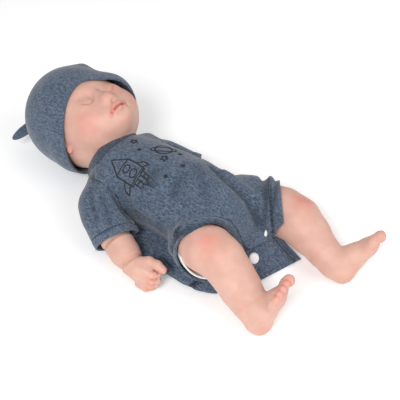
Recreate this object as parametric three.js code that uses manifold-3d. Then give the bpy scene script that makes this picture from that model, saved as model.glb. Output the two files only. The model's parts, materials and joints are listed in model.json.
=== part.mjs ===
// A sleeping newborn doll with a sound module, dressed in a knitted romper and hat, lying on its back.
// Millimetres. +X runs from head to feet, +Y towards the doll's own left, +Z up from the floor to the belly.
// The origin is on the floor under the middle of the trunk.
//
// The trunk is a pair of hard plastic shells round the sound module. The head and the four limbs are hollow
// vinyl. Each is closed by a plug whose shaft turns in a bush held by the trunk shells, behind an E-clip.
// The clothes are simple closed solids: what covers a limb belongs to that limb and turns with it.

import * as THREE from "three";
import { mergeVertices } from "three/addons/utils/BufferGeometryUtils.js";
import Module from "manifold-3d";

const wasm = await Module();
wasm.setup();

// ---------------------------------------------------------------- driving dimensions
const GAP = 0.4; // between pieces that touch on the real doll
const VINYL_WALL = 3; // rotationally moulded head and limbs
const SHELL_WALL = 2.5; // injection moulded trunk shells
const FABRIC = 2.6; // knitted jersey as a solid, with its air
const BACK_Z = 11; // flat back of the trunk shells
const SPLIT_Z = 42; // plane where the trunk shells meet

// Joint axes run along Y; face is |y| of the trunk's facet.
const SHOULDER = { x: -78, z: 40, face: 34, radius: 15 };
const HIP = { x: 34, z: 35, face: 24, radius: 22 };
const NECK = { x: -95, y: 1, z: 44, out: [-0.96, 0.14, 0.2] }; // canted: the sleeping head leans to its left
const JOINT_GAP = 1; // between a trunk facet and the limb that turns on it
const SHAFT_R = 5;
const BUSH_BORE_R = 5.25; // corners of a twelve-sided bore whose flats clear the shaft
const BUSH_R = 6.4; // outside of the bush sleeve
const CLIP_GROOVE_R = 4;

const HEAD = { x: -154, y: 20, z: 59, yaw: -7 }; // centre of the skull; yaw turns the face about Z
const SKULL = { long: 56, wide: 51, deep: 54 }; // half sizes: crown to jaw, ear to ear, face to nape
const HAT_CLEAR = 1;

const CELL = { radius: 5.25, length: 44.5, pitch: 11.6, z: 19.6 }; // AAA cells, three side by side
const BAY = { x0: -32, x1: 28.5, halfWidth: 19 }; // opening for the battery box in the back shell

const PAD = { x: -4, radius: 12.5, travel: 1.8 }; // tummy press pad
const SLIDER = { x: -50, travel: 4 }; // on-off switch
const SNAP_R = 5.75;

// ---------------------------------------------------------------- materials
const finish = (color, roughness, metalness = 0) =>
  new THREE.MeshStandardMaterial({ color, roughness, metalness });
const SKIN = finish(0xdba593, 0.55);
const JERSEY = finish(0x5b6677, 0.95);
const RIB = finish(0x454f61, 0.95);
const NAPPY_WHITE = finish(0xe8e6e2, 0.9);
const SNAP_WHITE = finish(0xf4f4f4, 0.35);
const SHELL_PLASTIC = finish(0xe3b9a6, 0.5);
const WHITE_PLASTIC = finish(0xe9e9e6, 0.5);
const BLACK_PLASTIC = finish(0x222326, 0.5);
const STEEL = finish(0xb9bcc0, 0.35, 0.9);
const BOARD_GREEN = finish(0x1f5b3a, 0.6);
const CELL_WRAP = finish(0x33485c, 0.4);
const WIRE_RED = finish(0xa32b25, 0.6);

// ---------------------------------------------------------------- solid helpers
const V = (x, y, z) => new THREE.Vector3(x, y, z);
const X_AXIS = V(1, 0, 0);
const Y_AXIS = V(0, 1, 0);
const Z_AXIS = V(0, 0, 1);

// A closed three.js geometry as a manifold solid.
function solidOf(geometry) {
  const bare = geometry.index ? geometry.toNonIndexed() : geometry.clone();
  bare.deleteAttribute("normal");
  bare.deleteAttribute("uv");
  const merged = mergeVertices(bare, 1e-4);
  return new wasm.Manifold(
    new wasm.Mesh({
      numProp: 3,
      vertProperties: merged.attributes.position.array,
      triVerts: new Uint32Array(merged.index.array),
    }),
  );
}

function geometryOf(solid) {
  const mesh = solid.getMesh();
  const geometry = new THREE.BufferGeometry();
  geometry.setAttribute("position", new THREE.BufferAttribute(mesh.vertProperties, 3));
  geometry.setIndex(new THREE.BufferAttribute(mesh.triVerts, 1));
  return geometry;
}

const join = (...parts) => geometryOf(parts.map(solidOf).reduce((a, b) => a.add(b)));
const cut = (part, ...tools) => geometryOf(tools.map(solidOf).reduce((a, b) => a.subtract(b), solidOf(part)));
const common = (a, b) => geometryOf(solidOf(a).intersect(solidOf(b)));
const mirrorY = (geometry) => {
  const flipped = geometry.clone().toNonIndexed().scale(1, -1, 1);
  const p = flipped.attributes.position.array;
  for (let i = 0; i < p.length; i += 9)
    for (let k = 0; k < 3; k++) [p[i + 3 + k], p[i + 6 + k]] = [p[i + 6 + k], p[i + 3 + k]];
  return flipped;
};

function block(x0, x1, y0, y1, z0, z1) {
  const middle = [(x0 + x1) / 2, (y0 + y1) / 2, (z0 + z1) / 2];
  return new THREE.BoxGeometry(x1 - x0, y1 - y0, z1 - z0).translate(...middle);
}

// A cylinder or cone from point a to point b.
function rod(a, b, radius, sides = 14, endRadius = radius) {
  const axis = b.clone().sub(a);
  const turn = new THREE.Quaternion().setFromUnitVectors(Y_AXIS, axis.clone().normalize());
  const middle = a.clone().add(b).multiplyScalar(0.5);
  const upright = new THREE.CylinderGeometry(endRadius, radius, axis.length(), sides);
  return upright.applyQuaternion(turn).translate(...middle);
}

function ball(centre, rx, ry = rx, rz = rx, around = 12, rows = 8) {
  const unit = new THREE.SphereGeometry(1, around, rows).rotateX(Math.PI / 2);
  return unit.scale(rx, ry, rz).translate(...centre);
}

// A lathe whose [radius, height] profile stands on `base` and points along `axis`.
function turned(profile, base, axis, sides = 12) {
  const points = profile.map(([r, h]) => new THREE.Vector2(r, h));
  const turn = new THREE.Quaternion().setFromUnitVectors(Y_AXIS, axis.clone().normalize());
  return new THREE.LatheGeometry(points, sides).applyQuaternion(turn).translate(...base);
}

// A closed tube with an elliptical section, through stations [x, y, z, radius across `side`, other radius].
function tube(stations, { side = Y_AXIS, around = 14, rows = 12 } = {}) {
  const spine = new THREE.CatmullRomCurve3(stations.map(([x, y, z]) => V(x, y, z)), false, "catmullrom", 0.5);
  const radii = new THREE.CatmullRomCurve3(
    stations.map(([, , , a, b]) => V(a, b ?? a, 0)),
    false,
    "catmullrom",
    0.5,
  );
  const profile = [new THREE.Vector2(0, 0)];
  for (let i = 0; i <= rows; i++) profile.push(new THREE.Vector2(1, i / rows));
  profile.push(new THREE.Vector2(0, 1));
  const geometry = new THREE.LatheGeometry(profile, around);
  const position = geometry.attributes.position;
  for (let i = 0; i < position.count; i++) {
    const t = Math.min(1, Math.max(0, position.getY(i)));
    const tangent = spine.getTangent(t);
    const across = side.clone().addScaledVector(tangent, -side.dot(tangent)).normalize();
    const other = tangent.clone().cross(across);
    const size = radii.getPoint(t);
    const point = spine.getPoint(t);
    point.addScaledVector(across, position.getZ(i) * size.x);
    point.addScaledVector(other, position.getX(i) * size.y);
    position.setXYZ(i, ...point);
  }
  return geometry;
}

const grown = (stations, by) => stations.map(([x, y, z, a, b]) => [x, y, z, a + by, (b ?? a) + by]);

// The same with both ends of a tube along X moved out too.
const swollen = (stations, by) =>
  grown(stations, by).map(([x, ...rest], i, all) => {
    const end = i === 0 ? -1 : Number(i === all.length - 1);
    return [x + end * by, ...rest];
  });

// Welds corners that a boolean left closer together than `within`, and drops the faces that vanish.
function welded(geometry, within = 0.02) {
  const bare = geometry.index ? geometry.toNonIndexed() : geometry.clone();
  bare.deleteAttribute("normal");
  bare.deleteAttribute("uv");
  const merged = mergeVertices(bare, within);
  const index = merged.index.array;
  const kept = [];
  for (let i = 0; i < index.length; i += 3) {
    const [a, b, c] = index.slice(i, i + 3);
    if (a !== b && b !== c && c !== a) kept.push(a, b, c);
  }
  merged.setIndex(kept);
  return merged;
}

const doll = new THREE.Group();
function add(name, geometry, material, parent = doll) {
  const mesh = new THREE.Mesh(welded(geometry), material);
  mesh.name = name;
  parent.add(mesh);
  return mesh;
}

// ---------------------------------------------------------------- joint hardware
// A joint stands at `base`, on the trunk's outer face, and `out` points from the trunk into the limb.
function bush(base, out) {
  const inner = BUSH_BORE_R;
  const profile = [
    [inner, -SHELL_WALL - 1.9],
    [BUSH_R + 3, -SHELL_WALL - 1.9],
    [BUSH_R + 3, -SHELL_WALL - GAP],
    [BUSH_R, -SHELL_WALL - GAP],
    [BUSH_R, 0.4],
    [inner, 0.4],
    [inner, -SHELL_WALL - 1.9],
  ];
  return turned(profile, base, out);
}

// The plug closes the limb's open end. Its grooved shaft runs back through the bush.
function plug(base, out, mouthRadius) {
  const clipAt = -SHELL_WALL - 2.3;
  const profile = [
    [0, clipAt - 3.8],
    [SHAFT_R - 0.8, clipAt - 3.8],
    [SHAFT_R, clipAt - 3],
    [SHAFT_R, clipAt - 2],
    [CLIP_GROOVE_R, clipAt - 2],
    [CLIP_GROOVE_R, clipAt],
    [SHAFT_R, clipAt],
    [SHAFT_R, JOINT_GAP],
    [mouthRadius - GAP, JOINT_GAP],
    [mouthRadius - GAP, JOINT_GAP + 4],
    [0, JOINT_GAP + 4],
  ];
  return turned(profile, base, out);
}

function clip(base, out, slotAlong) {
  const at = -SHELL_WALL - 2.3;
  const ring = turned(
    [
      [CLIP_GROOVE_R + 0.3, at - 1.7],
      [CLIP_GROOVE_R + 4, at - 1.7],
      [CLIP_GROOVE_R + 4, at - 0.3],
      [CLIP_GROOVE_R + 0.3, at - 0.3],
      [CLIP_GROOVE_R + 0.3, at - 1.7],
    ],
    base,
    out,
  );
  const middle = base.clone().addScaledVector(out, at - 1);
  return cut(ring, rod(middle, middle.clone().addScaledVector(slotAlong, CLIP_GROOVE_R + 6), 2.6, 8));
}

// ---------------------------------------------------------------- trunk shells
const TRUNK = [
  [-103, 0, 44, 17, 15],
  [-92, 0, 42, 25, 19],
  [-78, 0, 40, 32, 25],
  [-58, 0, 40, 34, 28],
  [-30, 0, 41, 35, 31],
  [-4, 0, 41, 36, 33.5],
  [14, 0, 41, 34, 33],
  [34, 0, 40, 24, 31],
  [52, 0, 37, 18, 24],
  [63, 0, 33, 9, 8],
];
const PLATE = { x0: -61.4, x1: 44.3, halfWidth: 21.4, top: 37.7 }; // flat back of the trunk

const neckBase = V(NECK.x, NECK.y, NECK.z);
const neckOut = V(...NECK.out).normalize();
const alongNeck = (h) => neckBase.clone().addScaledVector(neckOut, h);

const aboutY = (joint, y0, y1, radius, sides = 14) =>
  rod(V(joint.x, y0, joint.z), V(joint.x, y1, joint.z), radius, sides);
const bothSides = (joint, y0, y1, radius) => [aboutY(joint, y0, y1, radius), aboutY(joint, -y1, -y0, radius)];

// The trunk's outer form grown by `by`, with its facets for the neck and limbs and its flat back.
function trunkForm(by, around = 14, rows = 9) {
  const widest = 80;
  const facet = (joint) => joint.face + by;
  const body = join(
    tube(swollen(TRUNK, by), { around, rows }),
    aboutY(SHOULDER, -facet(SHOULDER), facet(SHOULDER), SHOULDER.radius + by),
    aboutY(HIP, -facet(HIP), facet(HIP), HIP.radius + by),
    block(PLATE.x0 - by, PLATE.x1 + by, -PLATE.halfWidth - by, PLATE.halfWidth + by, BACK_Z - by, PLATE.top),
  );
  return cut(
    body,
    rod(alongNeck(by), alongNeck(60), 27 - by, 14),
    ...bothSides(SHOULDER, facet(SHOULDER), widest, SHOULDER.radius + 6.5 - by),
    ...bothSides(HIP, facet(HIP), widest, HIP.radius + 6.5 - by),
    block(-200, 200, -100, 100, -50, BACK_Z - by),
  );
}

const BOSSES = [
  V(-58, 24, 0),
  V(-58, -24, 0),
  V(-12, 27, 0),
  V(-12, -27, 0),
];
const BOSS_R = 4.2;
const SCREW_HEAD_Z = 21; // depth of the screw wells

function trunkShells() {
  const outer = trunkForm(0);
  const inner = trunkForm(-SHELL_WALL, 10, 7);
  const posts = common(
    BOSSES.map((b) => rod(V(b.x, b.y, 0), V(b.x, b.y, 90), BOSS_R, 10)).reduce((a, b) => join(a, b)),
    outer,
  );
  const open = [
    rod(alongNeck(5), alongNeck(-8), BUSH_R + 0.3),
    ...bothSides(SHOULDER, SHOULDER.face - 7, 50, BUSH_R + 0.3),
    ...bothSides(HIP, HIP.face - 7, 50, BUSH_R + 0.3),
    ...BOSSES.map((b) => rod(V(b.x, b.y, 0), V(b.x, b.y, 54), 1.9, 8)),
    ...BOSSES.map((b) => rod(V(b.x, b.y, 0), V(b.x, b.y, SCREW_HEAD_Z), 3.6, 10)),
  ];
  const shell = cut(join(cut(outer, inner), posts), ...open);

  const speakerHoles = [];
  for (let i = 0; i < 6; i++) {
    const a = (i * Math.PI) / 3;
    const [x, y] = [SPEAKER_X + 9 * Math.cos(a), 9 * Math.sin(a)];
    speakerHoles.push(rod(V(x, y, 60), V(x, y, 90), 1.6, 6));
  }
  const padHole = rod(V(PAD.x, 0, 60), V(PAD.x, 0, 90), PAD.radius + GAP, 18);
  const front = cut(shell, block(-200, 200, -100, 100, -10, SPLIT_Z + 0.2), padHole, ...speakerHoles);

  const bay = block(BAY.x0, BAY.x1, -BAY.halfWidth, BAY.halfWidth, 0, BACK_Z + SHELL_WALL + 2);
  const slot = block(SLIDER.x - 4, SLIDER.x + 4, -1.8, 1.8, 0, BACK_Z + SHELL_WALL + 2);
  const back = cut(shell, block(-200, 200, -100, 100, SPLIT_Z - 0.2, 100), bay, slot);
  add("torso_front_shell", front, SHELL_PLASTIC);
  add("torso_back_shell", back, SHELL_PLASTIC);

  BOSSES.forEach((b, i) => {
    const profile = [[0, 0.3], [3.1, 0.3], [3.1, 2.3], [1.5, 2.3], [1.5, 31], [0, 32.5]];
    const screw = turned(profile.map(([r, h]) => [r, h - 2.6]), V(b.x, b.y, SCREW_HEAD_Z), Z_AXIS, 8);
    add(`torso_screw_${i + 1}`, screw, STEEL);
  });
}

// ---------------------------------------------------------------- sound module
const SPEAKER_X = -46;
const SPEAKER_Z = 48.5;
const BOX_TOP_Z = 27;
const BOARD_Z = 33;

// A coil spring between z0 and z1, or along any axis once it is turned.
function coil(radius, wire, height, turns) {
  const path = new THREE.CatmullRomCurve3(
    Array.from({ length: turns * 6 + 1 }, (_, i) => {
      const a = (i * Math.PI) / 3;
      return V(radius * Math.cos(a), radius * Math.sin(a), (height * i) / (turns * 6));
    }),
  );
  const section = new THREE.Shape(new THREE.EllipseCurve(0, 0, wire, wire).getPoints(4).slice(0, 4));
  return new THREE.ExtrudeGeometry(section, { steps: turns * 6, extrudePath: path, bevelEnabled: false });
}

function wire(points, radius = 0.8) {
  const path = new THREE.CatmullRomCurve3(points);
  const section = new THREE.Shape(new THREE.EllipseCurve(0, 0, radius, radius).getPoints(5).slice(0, 5));
  return new THREE.ExtrudeGeometry(section, { steps: 10, extrudePath: path, bevelEnabled: false });
}

function soundModule() {
  const { x0, x1, halfWidth } = BAY;
  const w = halfWidth - GAP;
  const floor = BACK_Z + 2.4;
  const screwX = x1 - 4;
  const tray = cut(
    join(
      block(x0 + GAP, x1 - GAP, -w, w, floor, BOX_TOP_Z),
      block(-30, -26, -12, 12, BOX_TOP_Z - 1, BOARD_Z - GAP),
    ),
    block(x0 + 2, x1 - 2, -w + 1.3, w - 1.3, 0, BOX_TOP_Z - 1.5),
  );
  const screwHole = rod(V(screwX, 0, 0), V(screwX, 0, 20), 1.6, 8);
  const box = cut(join(tray, block(screwX - 3, x1 - 1, -3.5, 3.5, floor, BOX_TOP_Z - 1)), screwHole);
  add("battery_box", box, BLACK_PLASTIC);
  const counterbore = rod(V(screwX, 0, 0), V(screwX, 0, BACK_Z + 1.3), 3, 8);
  const door = cut(block(x0 + GAP, x1 - GAP, -w, w, BACK_Z, BACK_Z + 2), screwHole, counterbore);
  add("battery_door", door, SHELL_PLASTIC);
  const screwProfile = [[0, 0], [2.6, 0], [2.6, 1.1], [1.3, 1.1], [1.3, 7], [0, 8]];
  add("battery_door_screw", turned(screwProfile, V(screwX, 0, BACK_Z + 0.1), Z_AXIS, 8), STEEL);

  const cellX = x0 + 3;
  for (let i = 0; i < 3; i++) {
    const y = (i - 1) * CELL.pitch;
    const nub = CELL.length;
    const profile = [[0, 0], [CELL.radius, 0], [CELL.radius, nub - 1], [1.9, nub - 1], [1.9, nub], [0, nub]];
    add(`battery_cell_${i + 1}`, turned(profile, V(cellX, y, CELL.z), X_AXIS, 12), CELL_WRAP);
    const spring = coil(3, 0.45, 3.6, 2).rotateY(Math.PI / 2).translate(cellX + nub + 0.8, y, CELL.z);
    add(`contact_spring_${i + 1}`, spring, STEEL);
  }

  const board = join(
    block(-34, 12, -17, 17, BOARD_Z, BOARD_Z + 1.6),
    ball(V(-20, -4, BOARD_Z + 1.6), 6, 6, 2.2, 10, 6),
    block(-6, 0, 6, 12, BOARD_Z + 1, BOARD_Z + 4),
  );
  add("circuit_board", board, BOARD_GREEN);

  const magnet = [[0, 0], [8, 0], [8, 6], [11, 6]];
  const basket = [[17, 11], [17, 13], [15, 13], [15, 11.5], [9, 7.5], [0, 7.5]];
  const speaker = [...magnet, ...basket];
  add("speaker_frame", turned(speaker, V(SPEAKER_X, 0, SPEAKER_Z), Z_AXIS, 14), STEEL);
  const cone = [[0, 8.2], [5, 8], [9, 8.4], [14.4, 12], [14.4, 12.8], [9, 9.4], [5, 9], [0, 9.2]];
  add("speaker_cone", turned(cone, V(SPEAKER_X, 0, SPEAKER_Z), Z_AXIS, 14), BLACK_PLASTIC);

  const tact = join(
    block(PAD.x - 6, PAD.x + 6, -6, 6, 42, 45),
    rod(V(PAD.x, 0, 44), V(PAD.x, 0, 46.8), 2.2, 8),
    block(PAD.x - 2, PAD.x + 2, -9, -5, BOARD_Z + 1.6 + GAP, 43),
  );
  add("touch_switch", tact, BLACK_PLASTIC);

  const body = cut(
    block(SLIDER.x - 8, SLIDER.x + 8, -4, 4, BACK_Z + SHELL_WALL + GAP, 20),
    block(SLIDER.x - 5, SLIDER.x + 5, -2, 2, 0, 18),
  );
  add("power_switch_body", body, BLACK_PLASTIC);
  const lever = block(SLIDER.x - 3.6, SLIDER.x - 3.6 + 3, -1.4, 1.4, BACK_Z - 0.8, 17.5);
  add("power_slider", lever, WHITE_PLASTIC);

  const batteryWire = [V(-33, 8, 24), V(-37, 9, 27), V(-38, 9, 33), V(-36, 8, 38), V(-30, 7, 37)];
  add("battery_wire", wire(batteryWire), WIRE_RED);
  const speakerWire = [V(-30, -12, 36.5), V(-34, -15, 41), V(-40, -13, 46), V(-46, -10.2, 49.5)];
  add("speaker_wire", wire(speakerWire), WIRE_RED);
}

// The press pad in the tummy, held up by a coil spring round the switch.
function pressPad() {
  const roof = SPLIT_Z + 32.6;
  const flange = PAD.radius + 3;
  const stem = [[0, -25.6], [2.4, -25.6], [2.4, -10.8]];
  const rim = [[flange, -10.8], [flange, -8.4], [PAD.radius, -8.4]];
  const button = [[PAD.radius, -1.6], [8, -0.4], [0, 0]];
  const profile = [...stem, ...rim, ...button];
  add("belly_pad", turned(profile, V(PAD.x, 0, roof), Z_AXIS, 16), WHITE_PLASTIC);
  const low = 45.9;
  const pressed = roof - 10.8 - PAD.travel - low - 1.2;
  const spring = coil(4.2, 0.6, pressed, 4).translate(PAD.x, 0, low);
  add("belly_pad_spring", spring, STEEL);
}

// ---------------------------------------------------------------- limbs
const armSection = { around: 10, rows: 7 };
const RIGHT_ARM = [
  [-79, -46, 40, 14.5],
  [-71, -57, 39, 15.5],
  [-59, -65, 35, 15.5],
  [-45, -71, 30, 14.5],
  [-33, -75, 25, 14],
  [-18, -81, 21, 12.5],
  [-5, -86, 19, 9.8],
  [5, -88, 18, 9.2],
];
const LEFT_ARM = [
  [-78, 46, 38, 14.5],
  [-70, 55.5, 31, 15.5],
  [-58, 60.5, 23.5, 15.5],
  [-44, 61.5, 20, 14.5],
  [-31, 63.5, 18.5, 14],
  [-18, 67.5, 17.5, 12.5],
  [-8, 71.5, 17, 9.8],
  [0, 74, 17, 9.2],
];

// A loose fist. Locally +X runs from wrist to knuckles, +Z is the thumb side and +Y the palm.
function fist() {
  const forms = [ball(V(11, 1, -2), 13, 8.5, 13.5, 10, 7)];
  for (let i = 0; i < 4; i++) {
    const z = 8 - i * 7;
    const reach = [20, 22, 21, 18][i];
    forms.push(ball(V(reach, 0.5, z * 0.9), 6.4, 8, 3.9, 6, 5));
  }
  forms.push(rod(V(4, 2, 9), V(17, 5, 17), 5.2, 8, 4.4));
  forms.push(ball(V(22, 5.5, 16), 8, 4.4, 4.4, 6, 5));
  return join(...forms);
}

// A foot. Locally +X runs from heel to toes, +Z is the top and the big toe is on the -Y side.
function foot() {
  const sole = tube(
    [
      [-1, 0, 10, 5, 5],
      [5, 0, 11, 11, 11],
      [16, 0, 12, 12.5, 12],
      [30, 0, 11, 12.5, 10],
      [44, 0, 9, 15, 8.4],
      [54, 0, 7.6, 14.5, 6.6],
      [58, 0, 7, 10, 4.5],
    ],
    { around: 9, rows: 6 },
  );
  const toes = [ball(V(60, -9.6, 8), 7.4, 6.2, 6, 6, 5)];
  for (let i = 0; i < 4; i++) {
    const root = V(60.5 - 1.7 * i, -1.8 + 5 * i, 7.4 - 0.3 * i);
    toes.push(ball(root, 5.6 - 0.3 * i, 3.9, 4.6, 6, 4));
  }
  return join(sole, ...toes);
}

// Places a local form: its +X goes along `ahead`, its +Z as near `up` as it can.
function placed(geometry, origin, ahead, up) {
  const x = ahead.clone().normalize();
  const z = up.clone().addScaledVector(x, -up.dot(x)).normalize();
  const y = z.clone().cross(x);
  return geometry.clone().applyMatrix4(new THREE.Matrix4().makeBasis(x, y, z).setPosition(origin));
}

function jointNames(side, joint) {
  return { plug: `${side}_${joint}_plug`, clip: `${side}_${joint}_clip`, bush: `${side}_${joint}_bush` };
}

function jointHardware(side, joint, spec, sign, mouth) {
  const base = V(spec.x, sign * spec.face, spec.z);
  const out = V(0, sign, 0);
  const names = jointNames(side, joint);
  add(names.bush, bush(base, out), WHITE_PLASTIC);
  add(names.plug, plug(base, out, mouth), WHITE_PLASTIC);
  add(names.clip, clip(base, out, Z_AXIS), STEEL);
}

// Everything on the trunk's side of a limb's own joint face.
function inboard(spec, sign, by = 0) {
  const edge = sign * (spec.face + JOINT_GAP + by);
  return sign > 0 ? block(-200, 200, -200, edge, -100, 200) : block(-200, 200, edge, 200, -100, 200);
}

const SLEEVE_STATIONS = 4; // the sleeve covers this many stations of the arm
const HIDDEN = 7; // stations of a limb that are hollow
function arm(side, sign, stations, handOrigin, ahead, thumbUp) {
  const cap = V(SHOULDER.x, sign * (SHOULDER.face + 8), SHOULDER.z);
  const hand = placed(sign > 0 ? mirrorY(fist()) : fist(), handOrigin, ahead, thumbUp);
  const capR = SHOULDER.radius + 1.5;
  const outer = join(tube(stations, armSection), ball(cap, capR, 15, capR, 12, 8), hand);
  const hollow = tube(grown(stations.slice(0, HIDDEN), -VINYL_WALL), { around: 8, rows: 6 });
  const mouth = SHOULDER.radius - 4;
  const mouthBore = aboutY(SHOULDER, sign * 20, sign * (SHOULDER.face + JOINT_GAP + 6), mouth, 14);
  add(`${side}_arm`, cut(outer, hollow, mouthBore, inboard(SHOULDER, sign)), SKIN);
  jointHardware(side, "shoulder", SHOULDER, sign, mouth);

  const last = stations[SLEEVE_STATIONS];
  const covered = stations.slice(0, SLEEVE_STATIONS).map(([x, y, z, r], i) => [x, y, z, r + 3.2 + i * 0.9]);
  const sleeveR = SHOULDER.radius + 5;
  const sleeve = join(tube(covered, { around: 10, rows: 5 }), ball(cap, sleeveR, 18.5, sleeveR, 12, 8));
  const room = join(
    tube([...grown(covered, -FABRIC), [last[0], last[1], last[2], last[3] + 4]], { around: 8, rows: 5 }),
    ball(cap, sleeveR - FABRIC, 18.5 - FABRIC, sleeveR - FABRIC, 12, 6),
  );
  const ownCap = ball(cap, capR + GAP, 15 + GAP, capR + GAP, 12, 8);
  const own = join(tube(grown(stations, 0.6), armSection), ownCap);
  add(`${side}_sleeve`, cut(sleeve, room, own, inboard(SHOULDER, sign, 0.6)), JERSEY);
}

const RIGHT_LEG = [
  [34, -42, 35, 19],
  [45, -45, 43, 21],
  [58, -49, 50, 22.5],
  [72, -52, 49.5, 21.5],
  [86, -56, 42, 20],
  [98, -60, 34, 17.5],
  [109, -63, 26, 13.5],
  [119, -66, 20, 12],
];
const LEFT_LEG = [
  [34, 42, 34, 19],
  [48, 43, 35, 20.5],
  [61, 44, 37, 21],
  [74, 44, 39, 20.5],
  [93, 43, 38, 19.5],
  [114, 38, 33, 17],
  [139, 30, 25, 13],
  [154, 25, 20, 12],
];
const CUFF_STATIONS = 3;
const legSection = { around: 11, rows: 8 };

function leg(side, sign, stations, heel, ahead, top) {
  const cap = V(HIP.x, sign * (HIP.face + 13), HIP.z);
  const footForm = placed(sign > 0 ? foot() : mirrorY(foot()), heel, ahead, top);
  const capR = HIP.radius;
  const outer = join(tube(stations, legSection), ball(cap, capR, 20, capR, 14, 8), footForm);
  const hollow = tube(grown(stations.slice(0, HIDDEN), -VINYL_WALL), { around: 8, rows: 6 });
  const mouth = HIP.radius - 7;
  const mouthBore = aboutY(HIP, sign * 10, sign * (HIP.face + JOINT_GAP + 10), mouth, 14);
  add(`${side}_leg`, cut(outer, hollow, mouthBore, inboard(HIP, sign)), SKIN);
  jointHardware(side, "hip", HIP, sign, mouth);

  const covered = stations.slice(0, CUFF_STATIONS + 1).map(([x, y, z, r], i) => [x, y, z, r + 4 + i * 0.7]);
  const cuffR = HIP.radius + 4.5;
  const cuff = join(tube(covered, { around: 12, rows: 5 }), ball(cap, cuffR, 24.5, cuffR, 14, 8));
  const mouthward = covered[CUFF_STATIONS];
  const before = covered[CUFF_STATIONS - 1];
  const beyond = mouthward.map((v, i) => (i < 3 ? 2 * v - before[i] : v));
  const room = join(
    tube(grown([...covered, beyond], -FABRIC), { around: 10, rows: 6 }),
    ball(cap, cuffR - FABRIC, 24.5 - FABRIC, cuffR - FABRIC, 12, 8),
  );
  const own = tube(grown(stations, GAP), legSection);
  add(`${side}_romper_leg`, cut(cuff, room, own, inboard(HIP, sign, 0.6)), JERSEY);
}

// ---------------------------------------------------------------- head and hat
const head = new THREE.Group();

// Head forms are built about the skull's centre with the chin along +X and the face along +Z.
const headTurn = new THREE.Matrix4()
  .makeRotationZ(THREE.MathUtils.degToRad(HEAD.yaw))
  .setPosition(HEAD.x, HEAD.y, HEAD.z);
const onHead = (geometry) => geometry.clone().applyMatrix4(headTurn);

function headForm(by) {
  const skull = ball(V(-2, 0, 0), SKULL.long + by, SKULL.wide + by, SKULL.deep + by, 16, 10);
  const cheeks = ball(V(28, 0, 15), 32 + by, 42 + by, 34 + by, 12, 8);
  const chin = ball(V(52, 0, 30), 18 + by, 20 + by, 14 + by, 10, 7);
  const nose = ball(V(48, 0, 50), 6 + by, 6 + by, 7 + by, 8, 5);
  const ears = [-1, 1].map((s) => ball(V(14, s * 49, 2), 12 + by, 5 + by, 8 + by, 7, 5));
  return onHead(join(skull, cheeks, chin, nose, ...ears));
}

const NECK_MOUTH = 13; // bore of the head that the neck plug closes
const COLLAR_ROOM = 11; // free neck in front of the trunk, for the neckband
const JAW_CLEAR = 38.5; // the chin hangs over the chest outside this radius about the neck joint

function headAndHat() {
  const neckProfile = [[0, JOINT_GAP], [20, JOINT_GAP], [23, 12], [27, 24], [27, 40], [0, 40]];
  const neck = turned(neckProfile, neckBase, neckOut, 16);
  const inside = SKULL.deep - VINYL_WALL;
  const hollow = onHead(ball(V(-2, 0, 0), SKULL.long - VINYL_WALL, SKULL.wide - VINYL_WALL, inside, 12, 8));
  const throat = rod(alongNeck(-4), alongNeck(40), NECK_MOUTH, 14);
  const past = rod(alongNeck(COLLAR_ROOM), alongNeck(-60), JAW_CLEAR, 16);
  const whole = join(cut(headForm(0), past), neck);
  add("head", cut(whole, hollow, throat), SKIN, head);

  add("neck_bush", bush(neckBase, neckOut), WHITE_PLASTIC);
  add("neck_plug", plug(neckBase, neckOut, NECK_MOUTH), WHITE_PLASTIC, head);
  add("neck_clip", clip(neckBase, neckOut, Z_AXIS), STEEL, head);

  const over = (by) =>
    join(
      ball(V(-2, 0, 0), SKULL.long + by, SKULL.wide + by, SKULL.deep + by, 16, 10),
      ball(V(-22, 0, -4), 36 + by, 50 + by, 42 + by, 12, 7),
    );
  const fabric = over(HAT_CLEAR + FABRIC);
  const opening = new THREE.BoxGeometry(200, 300, 300).rotateY(-0.16).translate(119, 0, 18.3);
  const hat = cut(onHead(cut(fabric, over(HAT_CLEAR), opening)), headForm(HAT_CLEAR));
  add("hat", hat, JERSEY, head);
  const knot = V(-60, -20, -22);
  const lobe = placed(ball(V(8, 0, 0), 16, 8, 3.6, 9, 7), knot, V(-0.3, -0.85, -0.4), V(-0.9, 0.1, 0.4));
  add("hat_tail", cut(onHead(lobe), onHead(over(HAT_CLEAR + FABRIC + GAP))), JERSEY, head);
}

// ---------------------------------------------------------------- romper, nappy and snaps
const ROMPER = [
  [-108, 0, 42, 31, 28],
  [-90, 0, 40, 35, 32],
  [-78, 0, 38, 38, 36],
  [-58, 0, 38, 40, 40],
  [-30, 0, 39, 42, 41],
  [-4, 0, 40, 44, 42],
  [14, 0, 39, 42, 42],
  [32, 0, 38, 33, 41],
  [50, 0, 34, 28, 37],
  [68, 0, 29, 25, 30],
  [84, 0, 31, 22, 18],
];
const SEAM_Z = 30; // side seam between the romper's panels

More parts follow.
